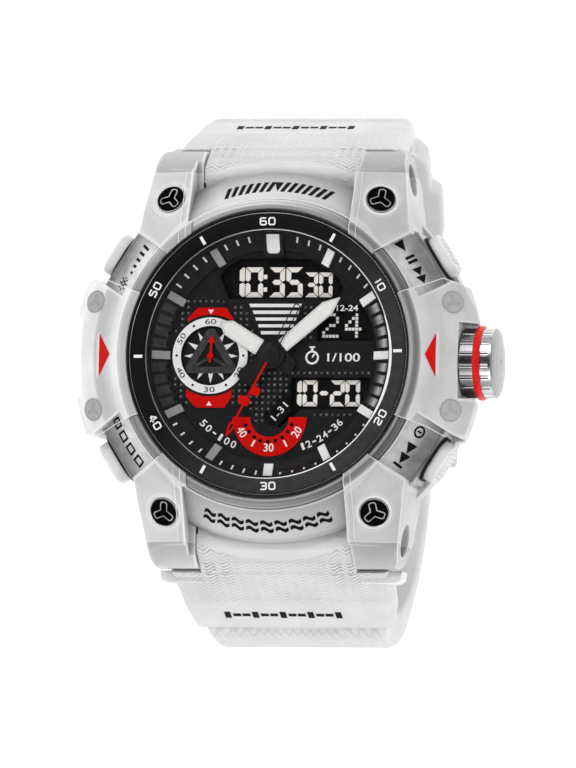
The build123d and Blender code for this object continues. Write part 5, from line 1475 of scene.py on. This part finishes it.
def mesh_raw(name, verts, faces, mat):
    me = bpy.data.meshes.new(name)
    me.from_pydata([tuple(c * MM for c in v) for v in verts], [], faces)
    me.validate()
    me.update()
    me.materials.append(mat.m)
    ob = bpy.data.objects.new(name, me)
    scene.collection.objects.link(ob)
    return ob


def s_where(path, cond):
    for k in np.arange(0, path.L, 0.05):
        oy, oz = path.outer(k)
        if cond(float(oy), float(oz)):
            return float(k)
    return path.L


def cut(ob, bag):
    c = mesh_raw(ob.name + "_cutter", bag.v, bag.f, M_INK)
    md = ob.modifiers.new("holes", "BOOLEAN")
    md.operation = "DIFFERENCE"
    md.object = c
    md.solver = "EXACT"
    bpy.context.view_layer.update()
    me = bpy.data.meshes.new_from_object(ob.evaluated_get(bpy.context.evaluated_depsgraph_get()))
    ob.modifiers.clear()
    ob.data = me
    bpy.data.objects.remove(c)


for path, node, body, arc_r in ((P12, "strap_12", "strap_12", 26.35), (P6, "strap_6", "strap_6", 26.65)):
    hy, hz = path.s * 23.9, 6.3
    s_b = s_where(path, lambda y, z: hypot(y - hy, z - hz) > 4.22 and z < 6.3)
    b = Bag()
    lift = (0.0, 0.30) if node == "strap_12" else (0.45, 1.15)
    v, f, rel = strap_mesh(path, 0.0, s_b + 0.5, 10.55, arc_r, "neck")
    relief = list(rel)
    b.add(v, f)
    tip = (15.9, 11.4) if node == "strap_6" else None
    v, f, rel = strap_mesh(path, s_b, path.L, width_of(W12 if node == "strap_12" else W6), arc_r, "wide", tip, lift)
    relief += rel
    b.add(v, f)
    # barrel round the spring bar
    n = 48
    prof = [(hy + 3.3 * cos(2 * pi * i / n), hz + 3.3 * sin(2 * pi * i / n)) for i in range(n)]
    hole = [(hy + 0.87 * cos(2 * pi * i / 24), hz + 0.87 * sin(2 * pi * i / 24)) for i in range(24)]
    b.prism([prof, hole[::-1]], -10.28, 10.28, lambda x, y, z: (z, x, y))
    # side shoulders under the neck
    if node == "strap_12":
        BY, BZ = 4.0, -33.55
        pr = [(BY + 1.6 * cos(2 * pi * i / 32), BZ + 1.6 * sin(2 * pi * i / 32)) for i in range(32)]
        ho = [(BY + 0.80 * cos(2 * pi * i / 20), BZ + 0.80 * sin(2 * pi * i / 20)) for i in range(20)]
        for x0, x1 in ((-11.4, -1.5), (1.5, 11.4)):
            b.prism([pr, ho[::-1]], x0, x1, lambda x, y, z: (z, x, y))
    ob = mesh_raw(node + "_guard_shade", b.v, b.f, M_STRAP)
    # the relief attribute feeds the painted shade and highlight in the strap colour
    at_ = ob.data.attributes.new("relief", "FLOAT", "POINT")
    vals = relief + [0.5] * (len(b.v) - len(relief))
    for i_, q_ in enumerate(vals[:len(ob.data.vertices)]):
        at_.data[i_].value = q_
    if node == "strap_6":
        # tongue holes in the tail, one of them in use
        holes = Bag()
        for yh in (-9.5, 7.0, 12.5, 18.0):
            holes.prism([[(0.95 * cos(2 * pi * i / 28), yh + 0.95 * sin(2 * pi * i / 28)) for i in range(28)]], -45.0, -30.0)
        holes.prism([[(-1.25, -2.9), (1.25, -2.9), (1.25, 3.9), (-1.25, 3.9)]], -40.0, -32.0)
        cut(ob, holes)
    for p in ob.data.polygons:
        p.use_smooth = True
    ob.data.set_sharp_from_angle(angle=radians(50))
    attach(ob, body)
    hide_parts(node)
    # rounded shoulders beside the lug ends
    yy = 28.35 if node == "strap_12" else 29.35
    b = Bag()
    for sx in (1, -1):
        plan = [(10.75, 27.72), (16.4, 27.72)]
        plan += [(16.4 - 1.5 * (1 - cos(radians(q))), yy - 0.9 + 0.9 * sin(radians(q)) if q else 27.9) for q in (0, 30, 60, 90)]
        plan += [(10.75, yy)]
        loop = [(sx * x, path.s * y) for x, y in plan]
        b.prism([loop if sx * path.s > 0 else loop[::-1]], 1.6, 5.0 if node == "strap_12" else 4.8)
    so = b.obj(node + "_shoulders", M_SHOULDER, body, slot="strap_resin")
    bv = so.modifiers.new("round", "BEVEL")
    bv.width = 0.28 * MM
    bv.segments = 3
    for p in so.data.polygons:
        p.use_smooth = True

# bars on the smooth bands
for path, body, zc, xc in ((P12, "strap_12", -2.3, -0.9), (P6, "strap_6", -2.0, -1.0)):
    s0 = s_where(path, lambda y, z: z < zc)
    bag = Bag()
    for i in range(-6, 7):
        w = 0.40 if i % 3 == 0 else 0.52
        hgt = 0.75 if i % 3 == 0 else 0.32
        x = xc + i * 1.25

        def put(u, t, h, path=path, s0=s0, x=x):
            oy, oz = path.outer(s0 + t)
            iy, iz = path.inner(s0 + t)
            T = hypot(iy - oy, iz - oz)
            up = (0.0 if path.s > 0 else 0.45) + h
            return (x + u, oy + (oy - iy) / T * up, oz + (oz - iz) / T * up)
        bag.prism([fine(box2(-w, w, -hgt, hgt))], -0.03, 0.05, put)
    bag.obj(body + "_bars", M_INK, body, slot="dial_black")

# ------------------------------------------------------------------ floor and light
me = bpy.data.meshes.new("floor")
s = 1.6
me.from_pydata([(-s, -s, -0.0403), (s, -s, -0.0403), (s, s, -0.0403), (-s, s, -0.0403)], [], [(0, 1, 2, 3)])
floor = bpy.data.objects.new("floor", me)
scene.collection.objects.link(floor)
M_FLOOR = Mat("floor_white", (0.92, 0.92, 0.92), 0.9, Specular_IOR_Level=0.0)
M_FLOOR.color(M_FLOOR.ramp(M_FLOOR.noise(0.004, 2.0), [(0.3, 0.91), (0.7, 0.93)]))
M_FLOOR.set("Emission Color", (1, 1, 1, 1))
M_FLOOR.set("Emission Strength", 0.42)
me.materials.append(M_FLOOR.m)

world = bpy.data.worlds.new("studio")
scene.world = world
world.use_nodes = True
wn = world.node_tree
bg = wn.nodes["Background"]
tc = wn.nodes.new("ShaderNodeTexCoord")
sp = wn.nodes.new("ShaderNodeSeparateXYZ")
rp = wn.nodes.new("ShaderNodeValToRGB")
mr = wn.nodes.new("ShaderNodeMapRange")
mr.inputs["From Min"].default_value = -1.0
mr.inputs["From Max"].default_value = 1.0
wn.links.new(tc.outputs["Generated"], sp.inputs[0])
wn.links.new(sp.outputs["Z"], mr.inputs["Value"])
wn.links.new(mr.outputs["Result"], rp.inputs["Fac"])
cr = rp.color_ramp
for p, v in ((0.58, 0.35), (0.70, 0.75), (0.85, 0.95)):
    cr.elements.new(p)
for e, (p, v) in zip(cr.elements, ((0.0, 0.9), (0.60, 0.62), (0.78, 1.0), (0.93, 1.0), (0.968, 0.03))):
    e.position = p
    e.color = (v, v, v, 1)
wn.links.new(rp.outputs["Color"], bg.inputs["Color"])
bg.inputs["Strength"].default_value = 0.96


def area(name, loc, target, size, power, sy=None, spread=180):
    d = bpy.data.lights.new(name, "AREA")
    d.shape = "RECTANGLE"
    d.size = size
    d.size_y = sy or size
    d.energy = power
    d.spread = radians(spread)
    o = bpy.data.objects.new(name, d)
    scene.collection.objects.link(o)
    o.location = loc
    o.rotation_mode = "QUATERNION"
    o.rotation_quaternion = (Vector(target) - Vector(loc)).to_track_quat("-Z", "Y")
    return o


area("key", (-0.18, 0.34, 0.42), (0, 0, 0), 0.30, 0.62)
area("fill", (0.42, -0.18, 0.34), (0, 0, 0), 0.30, 0.42)
area("low", (-0.15, -0.50, 0.48), (0, 0, 0), 0.30, 0.42)

bpy.context.view_layer.update()
